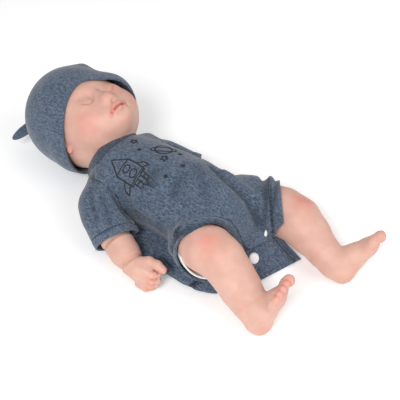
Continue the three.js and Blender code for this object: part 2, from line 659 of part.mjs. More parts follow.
function clothes() {
  const legRoom = [
    ...bothSides(HIP, HIP.face + 0.2, 90, HIP.radius + 6.5),
    block(22, 120, HIP.face + 0.6, 90, FABRIC + GAP, 120),
    block(22, 120, -90, -HIP.face - 0.6, FABRIC + GAP, 120),
  ];
  const nappyForm = common(
    join(
      tube(grown([...TRUNK.slice(4), [68, 0, 32, 7, 7]], 2), { around: 14, rows: 7 }),
      block(18, PLATE.x1 + 6, -24, 24, BACK_Z - 2, 30),
    ),
    block(18, 90, -60, 60, BACK_Z - 2, 100),
  );
  add("nappy", cut(nappyForm, trunkForm(GAP), ...legRoom), NAPPY_WHITE);

  const floorBlock = (z) => block(-200, 200, -100, 100, -80, z);
  const sleeveSweep = bothSides(SHOULDER, SHOULDER.face + 4, 90, 62);
  const limbRoom = [
    ...bothSides(SHOULDER, SHOULDER.face + 0.2, 90, SHOULDER.radius + 6.2),
    ...sleeveSweep,
    ...legRoom,
  ];
  const seat = (by) => block(PLATE.x0 - by, 54 + by, -26 - by, 26 + by, FABRIC - by, 30);
  const outer = cut(join(tube(ROMPER, { around: 14, rows: 9 }), seat(FABRIC)), floorBlock(0));
  const [collar, crotch] = [ROMPER[0], ROMPER[ROMPER.length - 1]];
  const lining = [
    [collar[0] - FABRIC, ...collar.slice(1)],
    ...ROMPER.slice(1, -1),
    [crotch[0] - FABRIC, ...crotch.slice(1)],
  ];
  const inner = cut(join(tube(grown(lining, -FABRIC), { around: 14, rows: 9 }), seat(0)), floorBlock(FABRIC));
  const collarAt = 4;
  const neckHole = rod(alongNeck(-5), alongNeck(20), 29, 18);
  const pastCollar = rod(alongNeck(collarAt), alongNeck(60), 60, 16);
  const flap = block(20, 112, -24, 24, 0, FABRIC);
  const keepOff = [neckHole, pastCollar, trunkForm(GAP), ...limbRoom];
  const above = block(-200, 200, -100, 100, SEAM_Z - 0.2, 120);
  const below = block(-200, 200, -100, 100, -10, SEAM_Z + 0.2);
  add("romper_front", cut(outer, inner, below, ...keepOff), JERSEY);
  add("romper_back", cut(join(cut(outer, inner), flap), above, ...keepOff), JERSEY);

  const bandProfile = [[29.6, 0], [32.6, 1], [33.6, 4], [31.6, 6], [29.6, 5], [29.6, 0]];
  add("romper_neckband", turned(bandProfile, alongNeck(collarAt + GAP), neckOut, 20), RIB);

  [-15, 0, 15].forEach((y, i) => {
    const profile = [[0, 0], [SNAP_R, 0], [SNAP_R, 1], [SNAP_R - 1, 1.8], [0, 2.2]];
    const out = V(16, 0, 2).normalize();
    add(`snap_${i + 1}`, turned(profile, V(84.6, y, 32), out, 12), SNAP_WHITE);
  });
}

trunkShells();
soundModule();
pressPad();
arm("right", -1, RIGHT_ARM, V(1, -87, 18), V(0.98, -0.1, -0.08), V(0.1, 0.3, 0.95));
arm("left", 1, LEFT_ARM, V(-6, 74.5, 18), V(0.96, 0.24, -0.08), V(0.1, -0.3, 0.95));
leg("right", -1, RIGHT_LEG, V(130, -72, 0.5), V(0.277, 0.37, 0.888), V(-0.9, 0, 0.42));
leg("left", 1, LEFT_LEG, V(167, 20, 2.5), V(0.31, 0.59, 0.745), V(-0.94, 0.0, 0.33));
headAndHat();
clothes();
doll.add(head);

export default doll;
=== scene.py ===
"""Looks of the sleeping baby doll: vinyl skin, heather jersey romper and hat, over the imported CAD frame.

Forms are sculpted as signed distances in millimetres, meshed, and moved to where the CAD node they stand
for sits. The head lies towards -X, the feet towards +X, the doll's left is +Y and its belly is +Z.
"""
import json
import math

import bpy
import numpy as np
import openvdb
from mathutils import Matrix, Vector
from mathutils.bvhtree import BVHTree


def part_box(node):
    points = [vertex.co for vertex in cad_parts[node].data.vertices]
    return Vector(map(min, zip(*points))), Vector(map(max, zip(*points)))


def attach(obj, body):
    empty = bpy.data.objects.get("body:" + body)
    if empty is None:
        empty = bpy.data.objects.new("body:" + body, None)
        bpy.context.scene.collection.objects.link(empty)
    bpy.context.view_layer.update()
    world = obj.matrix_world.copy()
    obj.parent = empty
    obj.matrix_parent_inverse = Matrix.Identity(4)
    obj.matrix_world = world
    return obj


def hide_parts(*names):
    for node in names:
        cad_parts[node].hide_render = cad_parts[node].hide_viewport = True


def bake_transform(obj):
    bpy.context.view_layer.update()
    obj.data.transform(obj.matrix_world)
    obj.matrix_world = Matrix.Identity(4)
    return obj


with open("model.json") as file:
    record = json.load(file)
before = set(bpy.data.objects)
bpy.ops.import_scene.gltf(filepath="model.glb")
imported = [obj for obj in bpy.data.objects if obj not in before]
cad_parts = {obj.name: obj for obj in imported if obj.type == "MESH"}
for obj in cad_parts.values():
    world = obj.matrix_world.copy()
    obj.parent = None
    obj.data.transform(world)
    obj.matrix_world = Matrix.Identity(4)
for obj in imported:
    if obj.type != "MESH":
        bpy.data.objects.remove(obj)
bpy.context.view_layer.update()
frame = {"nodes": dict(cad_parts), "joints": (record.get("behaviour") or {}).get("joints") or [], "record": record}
JOINT = {j["name"]: j for j in frame["joints"]}
COARSE = 1.0


# ---------------------------------------------------------------- vectors and places
def vec(*p):
    return np.array(p, float)


def unit(v):
    return np.array(v, float) / np.linalg.norm(v)


def middle(node):
    """The middle of a CAD node's box, in millimetres."""
    lo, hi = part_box(node)
    return np.array((lo + hi) / 2) * 1000


def joint_at(name):
    return np.array(JOINT[name]["pos_m"]) * 1000


class Place:
    """A local frame: +X ahead, +Z as near up as it can be, +Y to the left (or the right when mirrored)."""

    def __init__(self, origin, ahead, up, mirror=False):
        x = unit(ahead)
        z = unit(up - x * (np.array(up, float) @ x))
        y = np.cross(z, x) * (-1 if mirror else 1)
        self.origin = np.array(origin, float)
        self.basis = np.array([x, y, z]).T

    def __call__(self, *p):
        return self.origin + self.basis @ np.array(p, float)


WORLD = Place((0, 0, 0), (1, 0, 0), (0, 0, 1))


# ---------------------------------------------------------------- sculpting with distances
def smooth_min(a, b, k):
    if k <= 0:
        return np.minimum(a, b)
    h = np.maximum(k - np.abs(a - b), 0) / k
    return np.minimum(a, b) - h * h * k / 4


def cone(a, b, ra, rb=None):
    """A round-ended rod from a to b, its radius running from ra to rb."""
    rb = ra if rb is None else rb
    a, b = np.array(a, float), np.array(b, float)
    ab = b - a
    r = max(ra, rb)

    def distance(x, y, z):
        p = (x - a[0], y - a[1], z - a[2])
        t = np.clip((p[0] * ab[0] + p[1] * ab[1] + p[2] * ab[2]) / (ab @ ab), 0, 1)
        gap = [p[i] - t * ab[i] for i in range(3)]
        return np.sqrt(gap[0] ** 2 + gap[1] ** 2 + gap[2] ** 2) - (ra + (rb - ra) * t)

    return np.minimum(a, b) - r, np.maximum(a, b) + r, distance


def blob(centre, radii, place=WORLD):
    """An ellipsoid given in a local frame."""
    c = place(*centre)
    r = np.array(radii, float)

    def distance(x, y, z):
        p = (x - c[0], y - c[1], z - c[2])
        q = [sum(p[j] * place.basis[j, i] for j in range(3)) / r[i] for i in range(3)]
        k0 = np.sqrt(q[0] ** 2 + q[1] ** 2 + q[2] ** 2)
        k1 = np.sqrt((q[0] / r[0]) ** 2 + (q[1] / r[1]) ** 2 + (q[2] / r[2]) ** 2)
        return k0 * (k0 - 1) / (k1 + 1e-6)

    half = np.sqrt(((place.basis * r) ** 2).sum(1))
    return c - half, c + half, distance


def barrel(stations):
    """A tube along X with elliptical sections: stations of x, y, z, half width, half height."""
    s = np.array(stations, float)

    def distance(x, y, z):
        at = [np.interp(x, s[:, 0], s[:, i]).astype(np.float32) for i in range(1, 5)]
        u, v = (y - at[0]) / at[2], (z - at[1]) / at[3]
        k0 = np.sqrt(u * u + v * v)
        k1 = np.sqrt((u / at[2]) ** 2 + (v / at[3]) ** 2)
        side = k0 * (k0 - 1) / (k1 + 1e-6)
        return np.maximum(side, np.maximum(s[0, 0] - x, x - s[-1, 0]))

    lo = vec(s[0, 0], (s[:, 1] - s[:, 3]).min(), (s[:, 2] - s[:, 4]).min())
    hi = vec(s[-1, 0], (s[:, 1] + s[:, 3]).max(), (s[:, 2] + s[:, 4]).max())
    return lo, hi, distance


class Clay:
    """A block of signed distances that forms are added to and carved from."""

    FAR = 9.0

    def __init__(self, lo, hi, voxel):
        self.voxel = voxel * COARSE
        self.lo = np.array(lo, float)
        count = np.ceil((np.array(hi, float) - self.lo) / self.voxel).astype(int) + 1
        self.axes = [self.lo[k] + self.voxel * np.arange(count[k]) for k in range(3)]
        self.d = np.full(count, self.FAR, np.float32)

    def _window(self, lo, hi, reach):
        spans = []
        for k in range(3):
            first = int(np.searchsorted(self.axes[k], lo[k] - reach))
            last = int(np.searchsorted(self.axes[k], hi[k] + reach))
            spans.append(slice(first, last))
        steps = [axis[span].astype(np.float32) for axis, span in zip(self.axes, spans)]
        return tuple(spans), np.meshgrid(*steps, indexing="ij", sparse=True)

    def add(self, form, k=0.0):
        lo, hi, distance = form
        spans, grids = self._window(lo, hi, k + 6)
        self.d[spans] = smooth_min(self.d[spans], distance(*grids).astype(np.float32), k)
        return self

    def carve(self, form, k=0.0):
        lo, hi, distance = form
        spans, grids = self._window(lo, hi, k + 6)
        self.d[spans] = -smooth_min(-self.d[spans], distance(*grids).astype(np.float32), k)
        return self

    def chain(self, stations, k, swell=0.0):
        """Rods through stations of x, y, z, radius."""
        for a, b in zip(stations, stations[1:]):
            self.add(cone(a[:3], b[:3], a[3] + swell, b[3] + swell), k)
        return self

    def floor(self, z, k):
        """Flattens the clay's underside at a height."""
        height = (z - self.axes[2]).astype(np.float32)[None, None, :]
        self.d = -smooth_min(-self.d, -np.broadcast_to(height, self.d.shape), k)
        return self

    def surface(self, level=0.0):
        """Points and triangles of the surface at a distance."""
        grid = openvdb.FloatGrid(self.FAR)
        grid.copyFromArray(np.ascontiguousarray(self.d))
        points, quads = grid.convertToQuads(level)
        points = points.astype(float) * self.voxel + self.lo
        quads = quads.astype(np.int64)
        return points, np.concatenate([quads[:, [0, 1, 2]], quads[:, [0, 2, 3]]])


# ---------------------------------------------------------------- mesh work
def clipped(points, faces, value):
    """The part of a triangle mesh where value is below zero, cut cleanly along value = 0."""
    inside = value < 0
    count = inside[faces].sum(1)
    kept = [faces[count == 3]]
    fresh, made = [], {}

    def crossing(i, j):
        key = (min(i, j), max(i, j))
        if key not in made:
            t = value[i] / (value[i] - value[j])
            made[key] = len(points) + len(fresh)
            fresh.append(points[i] + t * (points[j] - points[i]))
        return made[key]

    extra = []
    for face in faces[(count == 1) | (count == 2)].tolist():
        ring = []
        for i, j in zip(face, face[1:] + face[:1]):
            if inside[i]:
                ring.append(i)
            if inside[i] != inside[j]:
                ring.append(crossing(i, j))
        extra += [(ring[0], ring[n], ring[n + 1]) for n in range(1, len(ring) - 1)]
    if extra:
        kept.append(np.array(extra, np.int64))
    faces = np.concatenate(kept)
    points = np.concatenate([points, np.array(fresh).reshape(-1, 3)])
    used, faces = np.unique(faces, return_inverse=True)
    return points[used], faces.reshape(-1, 3)


def normals_of(points, faces):
    corner = points[faces]
    face_normal = np.cross(corner[:, 1] - corner[:, 0], corner[:, 2] - corner[:, 0])
    total = np.zeros_like(points)
    for k in range(3):
        np.add.at(total, faces[:, k], face_normal)
    return total / np.maximum(np.linalg.norm(total, axis=1, keepdims=True), 1e-9)


def relaxed(points, faces, rounds=2, share=0.5):
    """Evens out a mesh: each point moves towards the mean of its neighbours, and rims stay put."""
    edges = np.concatenate([faces[:, [0, 1]], faces[:, [1, 2]], faces[:, [2, 0]]])
    both, count = np.unique(np.sort(edges, 1), axis=0, return_counts=True)
    rim = np.zeros(len(points), bool)
    rim[both[count == 1].ravel()] = True
    for _ in range(rounds):
        total = np.zeros_like(points)
        number = np.zeros(len(points))
        for a, b in ((0, 1), (1, 0)):
            np.add.at(total, both[:, a], points[both[:, b]])
            np.add.at(number, both[:, a], 1)
        goal = total / np.maximum(number, 1)[:, None]
        points = np.where(rim[:, None], points, points + share * (goal - points))
    return points


def with_thickness(points, faces, thickness):
    """Cloth of a given thickness: the sheet, an inner sheet and a rounded rim round every open edge."""
    n = len(points)
    inner = points - normals_of(points, faces) * np.reshape(thickness, (-1, 1))
    edges = np.concatenate([faces[:, [0, 1]], faces[:, [1, 2]], faces[:, [2, 0]]])
    _, first, count = np.unique(np.sort(edges, 1), axis=0, return_index=True, return_counts=True)
    rim = edges[first[count == 1]]
    a, b = rim[:, 0], rim[:, 1]
    walls = np.concatenate([np.stack([b, a, a + n], 1), np.stack([b, a + n, b + n], 1)])
    return np.concatenate([points, inner]), np.concatenate([faces, faces[:, ::-1] + n, walls])


def piece(name, points, faces, material, body=None, slot=None, stands_for=(), values=None):
    """A mesh object from points in millimetres, with point values for the shader to read."""
    mesh = bpy.data.meshes.new(name)
    faces = np.array(faces)
    mesh.vertices.add(len(points))
    mesh.vertices.foreach_set("co", (np.array(points, float) / 1000).astype(np.float32).ravel())
    size = faces.shape[1]
    mesh.loops.add(faces.size)
    mesh.loops.foreach_set("vertex_index", faces.astype(np.int32).ravel())
    mesh.polygons.add(len(faces))
    mesh.polygons.foreach_set("loop_start", np.arange(0, faces.size, size, dtype=np.int32))
    mesh.update(calc_edges=True)
    mesh.shade_smooth()
    for key, value in (values or {}).items():
        attribute = mesh.attributes.new(key, "FLOAT", "POINT")
        attribute.data.foreach_set("value", np.asarray(value, np.float32))
    mesh.materials.append(material)
    obj = bpy.data.objects.new(name, mesh)
    bpy.context.scene.collection.objects.link(obj)
    if body:
        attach(obj, body)
    if stands_for:
        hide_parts(*stands_for)
    return obj


def spots(points, marks):
    """Soft round marks of centre, radius and strength, summed at each point."""
    total = np.zeros(len(points))
    for centre, radius, strength in marks:
        gap = np.linalg.norm(points - np.array(centre), axis=1) / radius
        total += strength * np.exp(-gap * gap)
    return np.clip(total, 0, 1)


def along(points, path):
    """Distance of each point from a polyline."""
    best = np.full(len(points), 1e9)
    path = [np.array(p, float) for p in path]
    for a, b in zip(path, path[1:]):
        ab = b - a
        t = np.clip((points - a) @ ab / (ab @ ab), 0, 1)
        best = np.minimum(best, np.linalg.norm(points - a - t[:, None] * ab, axis=1))
    return best


# ---------------------------------------------------------------- materials
class Shader:
    """A small node graph that ends in a Principled shader."""

    def __init__(self, name):
        self.material = bpy.data.materials.new(name)
        self.material.use_nodes = True
        self.tree = self.material.node_tree
        self.main = self.tree.nodes["Principled BSDF"]
        self.object_space = self.node("ShaderNodeTexCoord").outputs["Object"]

    def node(self, kind, settings=None, **inputs):
        made = self.tree.nodes.new(kind)
        for key, value in (settings or {}).items():
            setattr(made, key, value)
        for key, value in inputs.items():
            self.feed(made, key.replace("_", " "), value)
        return made

    def feed(self, node, key, value):
        socket = node.inputs[int(key)] if key.isdigit() else node.inputs[key]
        if isinstance(value, bpy.types.NodeSocket):
            self.tree.links.new(value, socket)
        else:
            socket.default_value = value

    def set(self, **inputs):
        for key, value in inputs.items():
            self.feed(self.main, key.replace("_", " "), value)
        return self

    def value(self, name):
        return self.node("ShaderNodeAttribute", {"attribute_name": name}).outputs["Fac"]

    def noise(self, scale, detail=2.0, roughness=0.5, stretch=(1, 1, 1)):
        space = self.node("ShaderNodeMapping", Vector=self.object_space, Scale=stretch).outputs[0]
        made = self.node("ShaderNodeTexNoise", Vector=space, Scale=scale, Detail=detail, Roughness=roughness)
        return made.outputs["Fac"]

    def math(self, operation, *values):
        made = self.node("ShaderNodeMath", {"operation": operation})
        for i, value in enumerate(values):
            self.feed(made, str(i), value)
        return made.outputs[0]

    def ramp(self, factor, low, high):
        """0 below low, 1 above high, smooth between."""
        made = self.node("ShaderNodeMapRange", {"interpolation_type": "SMOOTHSTEP"}, Value=factor)
        self.feed(made, "From Min", low)
        self.feed(made, "From Max", high)
        return made.outputs[0]

    def mix(self, factor, a, b):
        made = self.node("ShaderNodeMix", {"data_type": "RGBA"})
        self.feed(made, "0", factor)
        self.feed(made, "6", a)
        self.feed(made, "7", b)
        return made.outputs[2]

    def bump(self, height, distance, strength=1.0, normal=None):
        made = self.node("ShaderNodeBump", Height=height, Distance=distance, Strength=strength)
        if normal is not None:
            self.feed(made, "Normal", normal)
        return made.outputs[0]


def skin_material():
    s = Shader("doll_skin")
    mottle = s.ramp(s.noise(60, 3), 0.35, 0.7)
    base = s.mix(mottle, (0.60, 0.350, 0.280, 1), (0.655, 0.400, 0.325, 1))
    base = s.mix(s.value("blush"), base, (0.66, 0.17, 0.13, 1))
    base = s.mix(s.value("lip"), base, (0.50, 0.075, 0.06, 1))
    base = s.mix(s.value("brow"), base, (0.42, 0.22, 0.17, 1))
    pores = s.bump(s.noise(900, 2), 0.0001, 0.25)
    s.set(Base_Color=base, Roughness=0.52, Normal=pores, Subsurface_Weight=0.25, Subsurface_Scale=0.006)
    s.set(Subsurface_Radius=(1.0, 0.35, 0.2), Specular_IOR_Level=0.35)
    return s.material


def floor_finish():
    s = Shader("pale_floor")
    s.set(Base_Color=s.mix(s.noise(300, 2), (0.93, 0.93, 0.93, 1), (0.95, 0.95, 0.95, 1)), Roughness=0.9)
    s.set(Specular_IOR_Level=0.1, Emission_Color=(1, 1, 1, 1), Emission_Strength=0.14)
    return s.material


def jersey_material(name, dark, light, rib=False):
    s = Shader(name)
    streaks = s.ramp(s.noise(620, 3, 0.65, (0.45, 1, 1)), 0.36, 0.66)
    patches = s.ramp(s.noise(45, 2), 0.3, 0.75)
    specks = s.ramp(s.noise(1500, 1, 0.5, (0.6, 1, 1)), 0.55, 0.72)
    base = s.mix(streaks, dark, light)
    base = s.mix(s.math("MULTIPLY", specks, 0.55), base, tuple(min(1, 1.9 * c) for c in light[:3]) + (1,))
    base = s.mix(s.math("MULTIPLY", patches, 0.18), base, dark)
    # painted shade: the cloth is darkened in the valleys of its creases, more where they pull in deeper
    base = s.mix(s.math("MULTIPLY", s.value("crease_shade"), 0.75), base, (0.018, 0.024, 0.038, 1))
    # dark lines: real seams and stitching, and painted shade along the hem grooves, the front panel's edge, the
    # flap's fold and the hat knot's groove
    crease = s.ramp(s.value("seam_and_shade_line"), 1.3, 0.3)
    base = s.mix(s.math("MULTIPLY", crease, 0.85), base, (0.012, 0.016, 0.026, 1))
    loops = s.node("ShaderNodeTexWave", {"bands_direction": "Y"}, Vector=s.object_space, Scale=190.0)
    s.feed(loops, "Distortion", 3.0)
    s.feed(loops, "Detail Scale", 3.0)
    normal = s.bump(s.noise(28, 2), 0.0035, 0.35)
    normal = s.bump(s.noise(750, 2, 0.6), 0.0004, 0.55, normal)
    normal = s.bump(loops.outputs["Fac"], 0.0003, 0.3, normal)
    if rib:
        ribs = s.math("SINE", s.math("MULTIPLY", s.value("turn"), 2 * math.pi))
        normal = s.bump(ribs, 0.0006, 0.8, normal)
    normal = s.bump(s.math("SUBTRACT", 1.0, crease), 0.0006, 0.9, normal)
    s.set(Base_Color=base, Roughness=0.93, Normal=normal, Sheen_Weight=0.25, Sheen_Roughness=0.5)
    s.set(Specular_IOR_Level=0.15)
    return s.material


def plain_material(name, color, roughness, metallic=0.0, grain=400.0, depth=0.00005):
    s = Shader(name)
    grime = s.ramp(s.noise(70, 3), 0.3, 0.8)
    base = s.mix(s.math("MULTIPLY", grime, 0.25), color, tuple(0.78 * c for c in color[:3]) + (1,))
    rough = s.math("MULTIPLY_ADD", s.noise(grain, 2), 0.16, roughness - 0.08)
    s.set(Base_Color=base, Roughness=rough, Metallic=metallic, Normal=s.bump(s.noise(grain, 2), depth, 0.5))
    return s.material


SKIN = skin_material()
JERSEY = jersey_material("heather_jersey", (0.036, 0.056, 0.086, 1), (0.118, 0.148, 0.206, 1))
RIB = jersey_material("heather_rib", (0.030, 0.040, 0.062, 1), (0.080, 0.096, 0.136, 1), rib=True)
INK = plain_material("print_ink", (0.010, 0.011, 0.013, 1), 0.7, grain=900, depth=0.0001)
NAPPY = plain_material("nappy_cotton", (0.80, 0.79, 0.76, 1), 0.9, grain=1200, depth=0.0003)
SNAP = plain_material("snap_resin", (0.86, 0.86, 0.87, 1), 0.32)


# ---------------------------------------------------------------- head
def head_place():
    """The skull's frame: +X runs to the chin and +Z out of the face."""
    origin = joint_at("neck_turn") + vec(-59, 19, 15)
    yaw = math.radians(-7)
    return Place(origin, (math.cos(yaw), math.sin(yaw), 0), (0, 0, 1))


HEAD = head_place()
NECK_OUT = unit(JOINT["neck_turn"]["axis"])
NECK = joint_at("neck_turn")


def in_head(points):
    return (points - HEAD.origin) @ HEAD.basis


# the line of a closed eye and the parting of the lips, from the middle of the face outwards
LIDS = [(30.8, 8.4), (32.6, 10.6), (33.6, 13.4), (33.0, 16.6), (30.8, 19.4), (27.6, 21.4)]
LIPS = [(60, 0, 51.6), (59.2, 4.5, 50.4), (58.9, 9, 47.4)]


def crown(clay, x, y):
    """The height of the clay's top surface at x, y."""
    i, j = (int(round((v - low) / clay.voxel)) for v, low in zip((x, y), clay.lo))
    column = clay.d[i, j]
    k = np.nonzero(column < 0)[0].max()
    return clay.axes[2][k] + clay.voxel * column[k] / (column[k] - column[k + 1])


def make_head():
    clay = Clay((-62, -62, -60), (92, 62, 66), 1.0)
    b = blob
    clay.add(b((-2, -3, 0), (56, 48, 54)))
    clay.add(b((14, -2, 14), (35, 38.5, 37)), 9)
    for s in (-1, 1):
        clay.add(b((38, s * 18, 22), (22, 19, 23)), 14)
    clay.add(b((57, 0, 29), (12, 13, 13)), 9)
    clay.add(b((54, 0, 40), (13, 13, 9.5)), 7)
    clay.add(b((44, 0, 8), (22, 28, 22)), 12)
    clay.add(b((46, 0, 33), (19, 24, 14)), 12)
    neck_foot = in_head(NECK + NECK_OUT * 1)
    clay.add(cone(neck_foot, neck_foot + in_head(HEAD.origin + NECK_OUT) * 34, 22, 26), 9)
    # eyes: shallow sockets, closed lids and the line where they meet
    for s in (-1, 1):
        clay.carve(b((27, s * 14, 56), (8, 12, 8)), 8)
        clay.add(b((28, s * 16, 41.6), (8.5, 10.5, 7)), 5)
        clay.carve(b((27, s * 6.5, 49.5), (3.5, 2.2, 3)), 4)
    lids = [[(x, s * y, crown(clay, x, s * y)) for x, y in LIDS] for s in (-1, 1)]
    for lid in lids:
        for a, c in zip(lid, lid[1:]):
            clay.carve(cone(a, c, 0.8), 1.0)
    # nose
    clay.add(cone((28, 0, 46), (40, 0, 50), 3.4, 4.4), 9)
    clay.add(b((44, 0, 52), (5.6, 5.4, 5.4)), 5)
    for s in (-1, 1):
        clay.add(b((45.4, s * 4.8, 49.2), (4, 3.4, 3.6)), 3)
        clay.carve(cone((50, s * 2.6, 48.6), (48.6, s * 2.6, 50.2), 0.7), 0.8)
    # mouth
    clay.carve(cone((51.5, 0, 52), (55, 0, 51.4), 1.2), 3)
    for s in (-1, 1):
        clay.add(cone((56.6, s * 2.4, 50.8), (58.6, s * 8.6, 47.4), 2.7, 1.5), 2.2)
        clay.add(cone((62.4, 0, 48.6), (61.4, s * 6.4, 46.8), 3.0, 1.9), 2.2)
        clay.carve(b((60.4, s * 11, 45.6), (1.4, 1.4, 1.6)), 3)
        clay.carve(cone((59.8, 0, 51.6), (59.0, s * 9.4, 47.4), 0.7), 0.9)
    clay.carve(b((67, 0, 47.5), (3, 9, 3)), 5)
    # ears, mostly under the hat
    for s in (-1, 1):
        clay.add(b((12, s * 45 - 2, 2), (12, 5, 8)), 4)
    clay.add(b((27.5, -44.6, 1), (4.0, 3.2, 4.4)), 1.5)
    # soft creases under the chin
    clay.carve(cone((72, -14, 16), (74, 14, 16), 1.2), 6)
    points, faces = clay.surface()
    blush = spots(points, [((44, s * 30, 36), 15, 0.30) for s in (-1, 1)])
    blush += spots(points, [((46, 0, 57), 8, 0.16), ((68, 0, 38), 10, 0.12), ((29, -46, 1), 8, 0.35)])
    blush += spots(points, [((30, s * 15, 50), 10, 0.10) for s in (-1, 1)])
    mouth = np.minimum(*[along(points, [(x, s * y, z) for x, y, z in LIPS]) for s in (-1, 1)])
    lip = np.clip(1.5 - mouth / 2.7, 0, 1) * 0.5 + np.clip(1.2 - mouth / 1.1, 0, 1) * 0.45
    brow = np.zeros(len(points))
    for s in (-1, 1):
        arc = [(14.5, s * 8, 49), (12.5, s * 15, 47.5), (16, s * 24, 43)]
        brow = np.maximum(brow, np.clip(1 - along(points, arc) / 3.4, 0, 1) * 0.3)
    for lid in lids:
        brow = np.maximum(brow, np.clip(1.4 - along(points, lid) / 1.1, 0, 1) * 0.8)
    points = points @ HEAD.basis.T + HEAD.origin
    values = {"blush": blush, "lip": lip, "brow": brow}
    piece("doll_head", points, faces, SKIN, "head", "skin", ["head"], values)


HAT_THICK = 2.2


def make_hat():
    clay = Clay((-76, -66, -66), (66, 66, 70), 1.5)
    clay.add(blob((-2, -3, 0), (60.5, 52.5, 58)))
    clay.add(blob((-20, -4, -4), (42, 48, 49)), 10)
    clay.add(blob((16, -4, -2), (30, 51.5, 51)), 6)
    for s in (-1, 1):
        clay.add(cone((-50, s * 8, 14), (-22, s * 24, 42), 3), 12)
    clay.add(cone((-58, -10, -10), (-20, -50, 6), 2.5), 8)
    clay.add(blob((-56, -14, -20), (7, 9, 9)), 12)
    clay.add(blob((16, 22, 14), (30, 31, 37)), 7)
    points, faces = clay.surface()

    def rim(p):
        across = (p[:, 1] + 3) / 53
        return p[:, 0] - 18 - 14 * across**2 + 0.16 * p[:, 2] - 13 * np.clip(across, 0, 1)

    points, faces = clipped(points, faces, rim(points))
    points = relaxed(points, faces, 3)
    edge = -rim(points)
    normal = normals_of(points, faces)
    points = points + normal * (0.9 * np.clip(1 - edge / 5, 0, 1))[:, None]
    # a dark line along the rim, 1.2 mm in from its edge
    seam_and_shade_line = np.abs(edge - 1.2) + 0.6
    points, faces = with_thickness(points, faces, HAT_THICK)
    seam_and_shade_line = np.concatenate([seam_and_shade_line, seam_and_shade_line])
    points = points @ HEAD.basis.T + HEAD.origin
    piece("knit_hat", points, faces, JERSEY, "head", "jersey", ["hat"], {"seam_and_shade_line": seam_and_shade_line})

    ahead, up = unit((-0.30, -0.85, -0.40)), unit((-0.8, 0.1, 0.5))
    tail = Place(HEAD(-57, -18, -22), HEAD.basis @ ahead, HEAD.basis @ up)
    clay = Clay(tail.origin - 44, tail.origin + 44, 0.9)
    clay.add(blob((17, 0, 0), (21, 10, 5.6), tail))
    clay.add(blob((-3, 0, -1), (6, 6.5, 5), tail), 6)
    clay.carve(cone(tail(-2, 2.5, 5.8), tail(32, 3.5, 4.8), 0.9), 1.6)
    points, faces = clay.surface()
    line = along(points, [tail(-2, 2.5, 5.6), tail(32, 3.5, 4.4)])
    # painted shade along the knot tail's carved groove
    piece("hat_knot_tail", points, faces, JERSEY, "head", "jersey", ["hat_tail"], {"seam_and_shade_line": line + 0.2})


make_head()
make_hat()


# ---------------------------------------------------------------- limbs
ARM_MIDDLE = {"right": vec(-30.95, -66.9, 28.7), "left": vec(-34.05, 61.95, 28.7)}
LEG_MIDDLE = {"right": vec(78.8, -52.95, 36.6), "left": vec(98.95, 46.3, 32.2)}
RIGHT_ARM = [
    (-79, -46, 40, 14.5), (-71, -57, 39, 15.5), (-59, -65, 35, 15.5), (-45, -71, 30, 15),
    (-33, -75, 25, 15), (-20, -80, 21.5, 14.2), (-8, -84.5, 19.5, 11.8), (1, -87, 18.5, 11),
]
LEFT_ARM = [
    (-78, 45, 31, 13), (-70, 51, 24.5, 13), (-58, 56.5, 18, 13), (-44, 59.5, 15.5, 12.5),
    (-31, 61, 14.5, 12), (-18, 62.5, 14.5, 11.3), (-8, 64, 15, 10.3), (0, 65, 15.5, 10),
]
RIGHT_LEG = [
    (34, -42, 36, 20), (46, -46, 44, 22), (60, -49.5, 50, 22.5), (75, -52, 49, 21),
    (90, -56, 41, 19.5), (103, -60, 32.5, 18.5), (115, -63.5, 25, 16), (125, -66, 19, 14),
]
LEFT_LEG = [
    (34, 43, 31, 18), (52, 43.5, 29.5, 22.5), (68, 43.5, 32, 24), (85, 43.5, 36, 24),
    (103, 42, 37, 22.5), (121, 37, 31, 19.5), (140, 31, 24.5, 15.5), (154, 28, 19, 14),
]


def fist(clay, hand):
    """A loose fist: +X to the knuckles, +Z the thumb's side, +Y the palm."""
    clay.add(blob((11, 1, -1.5), (13.5, 9, 13), hand), 6)
    for i in range(4):
        z = 7.4 - i * 6.3
        reach = (18.5, 20.5, 19.5, 16.5)[i]
        bends = [hand(8, -3.5, z), hand(reach, -2.6, z * 0.97)]
        bends += [hand(reach + 2.4, 3.4, z * 0.93), hand(reach - 5, 7.6, z * 0.9)]
        for a, b in zip(bends, bends[1:]):
            clay.add(cone(a, b, 3.8, 3.5), 0.5)
    for i in range(3):
        z = 4.2 - i * 6.2
        clay.carve(cone(hand(17, -7, z), hand(23.6, 0, z), 0.8), 1.0)
        clay.carve(cone(hand(23.6, 0, z), hand(19, 9, z * 0.95), 0.8), 1.0)
    thumb = [hand(0, 2, 7), hand(8, 3.5, 13.5), hand(17, 4.6, 15.6), hand(24, 5.4, 14.4)]
    for (a, b), radii in zip(zip(thumb, thumb[1:]), ((6.4, 5.4), (5.2, 4.5), (4.5, 4.1))):
        clay.add(cone(a, b, *radii), 2.2)
    clay.carve(cone(hand(14, 2, 8.8), hand(22, 3, 9.6), 1.0), 1.5)
    return [(hand(21, -4, 4 - 6 * i), 5, 0.22) for i in range(4)] + [(hand(24, 5, 14), 6, 0.3)]


def vinyl_limb(body, points, faces, blush):
    """A bare arm or leg, which has no lips or brows for the skin's shader to read."""
    none = np.zeros(len(points))
    side, limb = body.split("_")
    values = {"blush": blush, "lip": none, "brow": none}
    piece(f"{side}_vinyl_{limb}", points, faces, SKIN, body, "skin", [body], values)


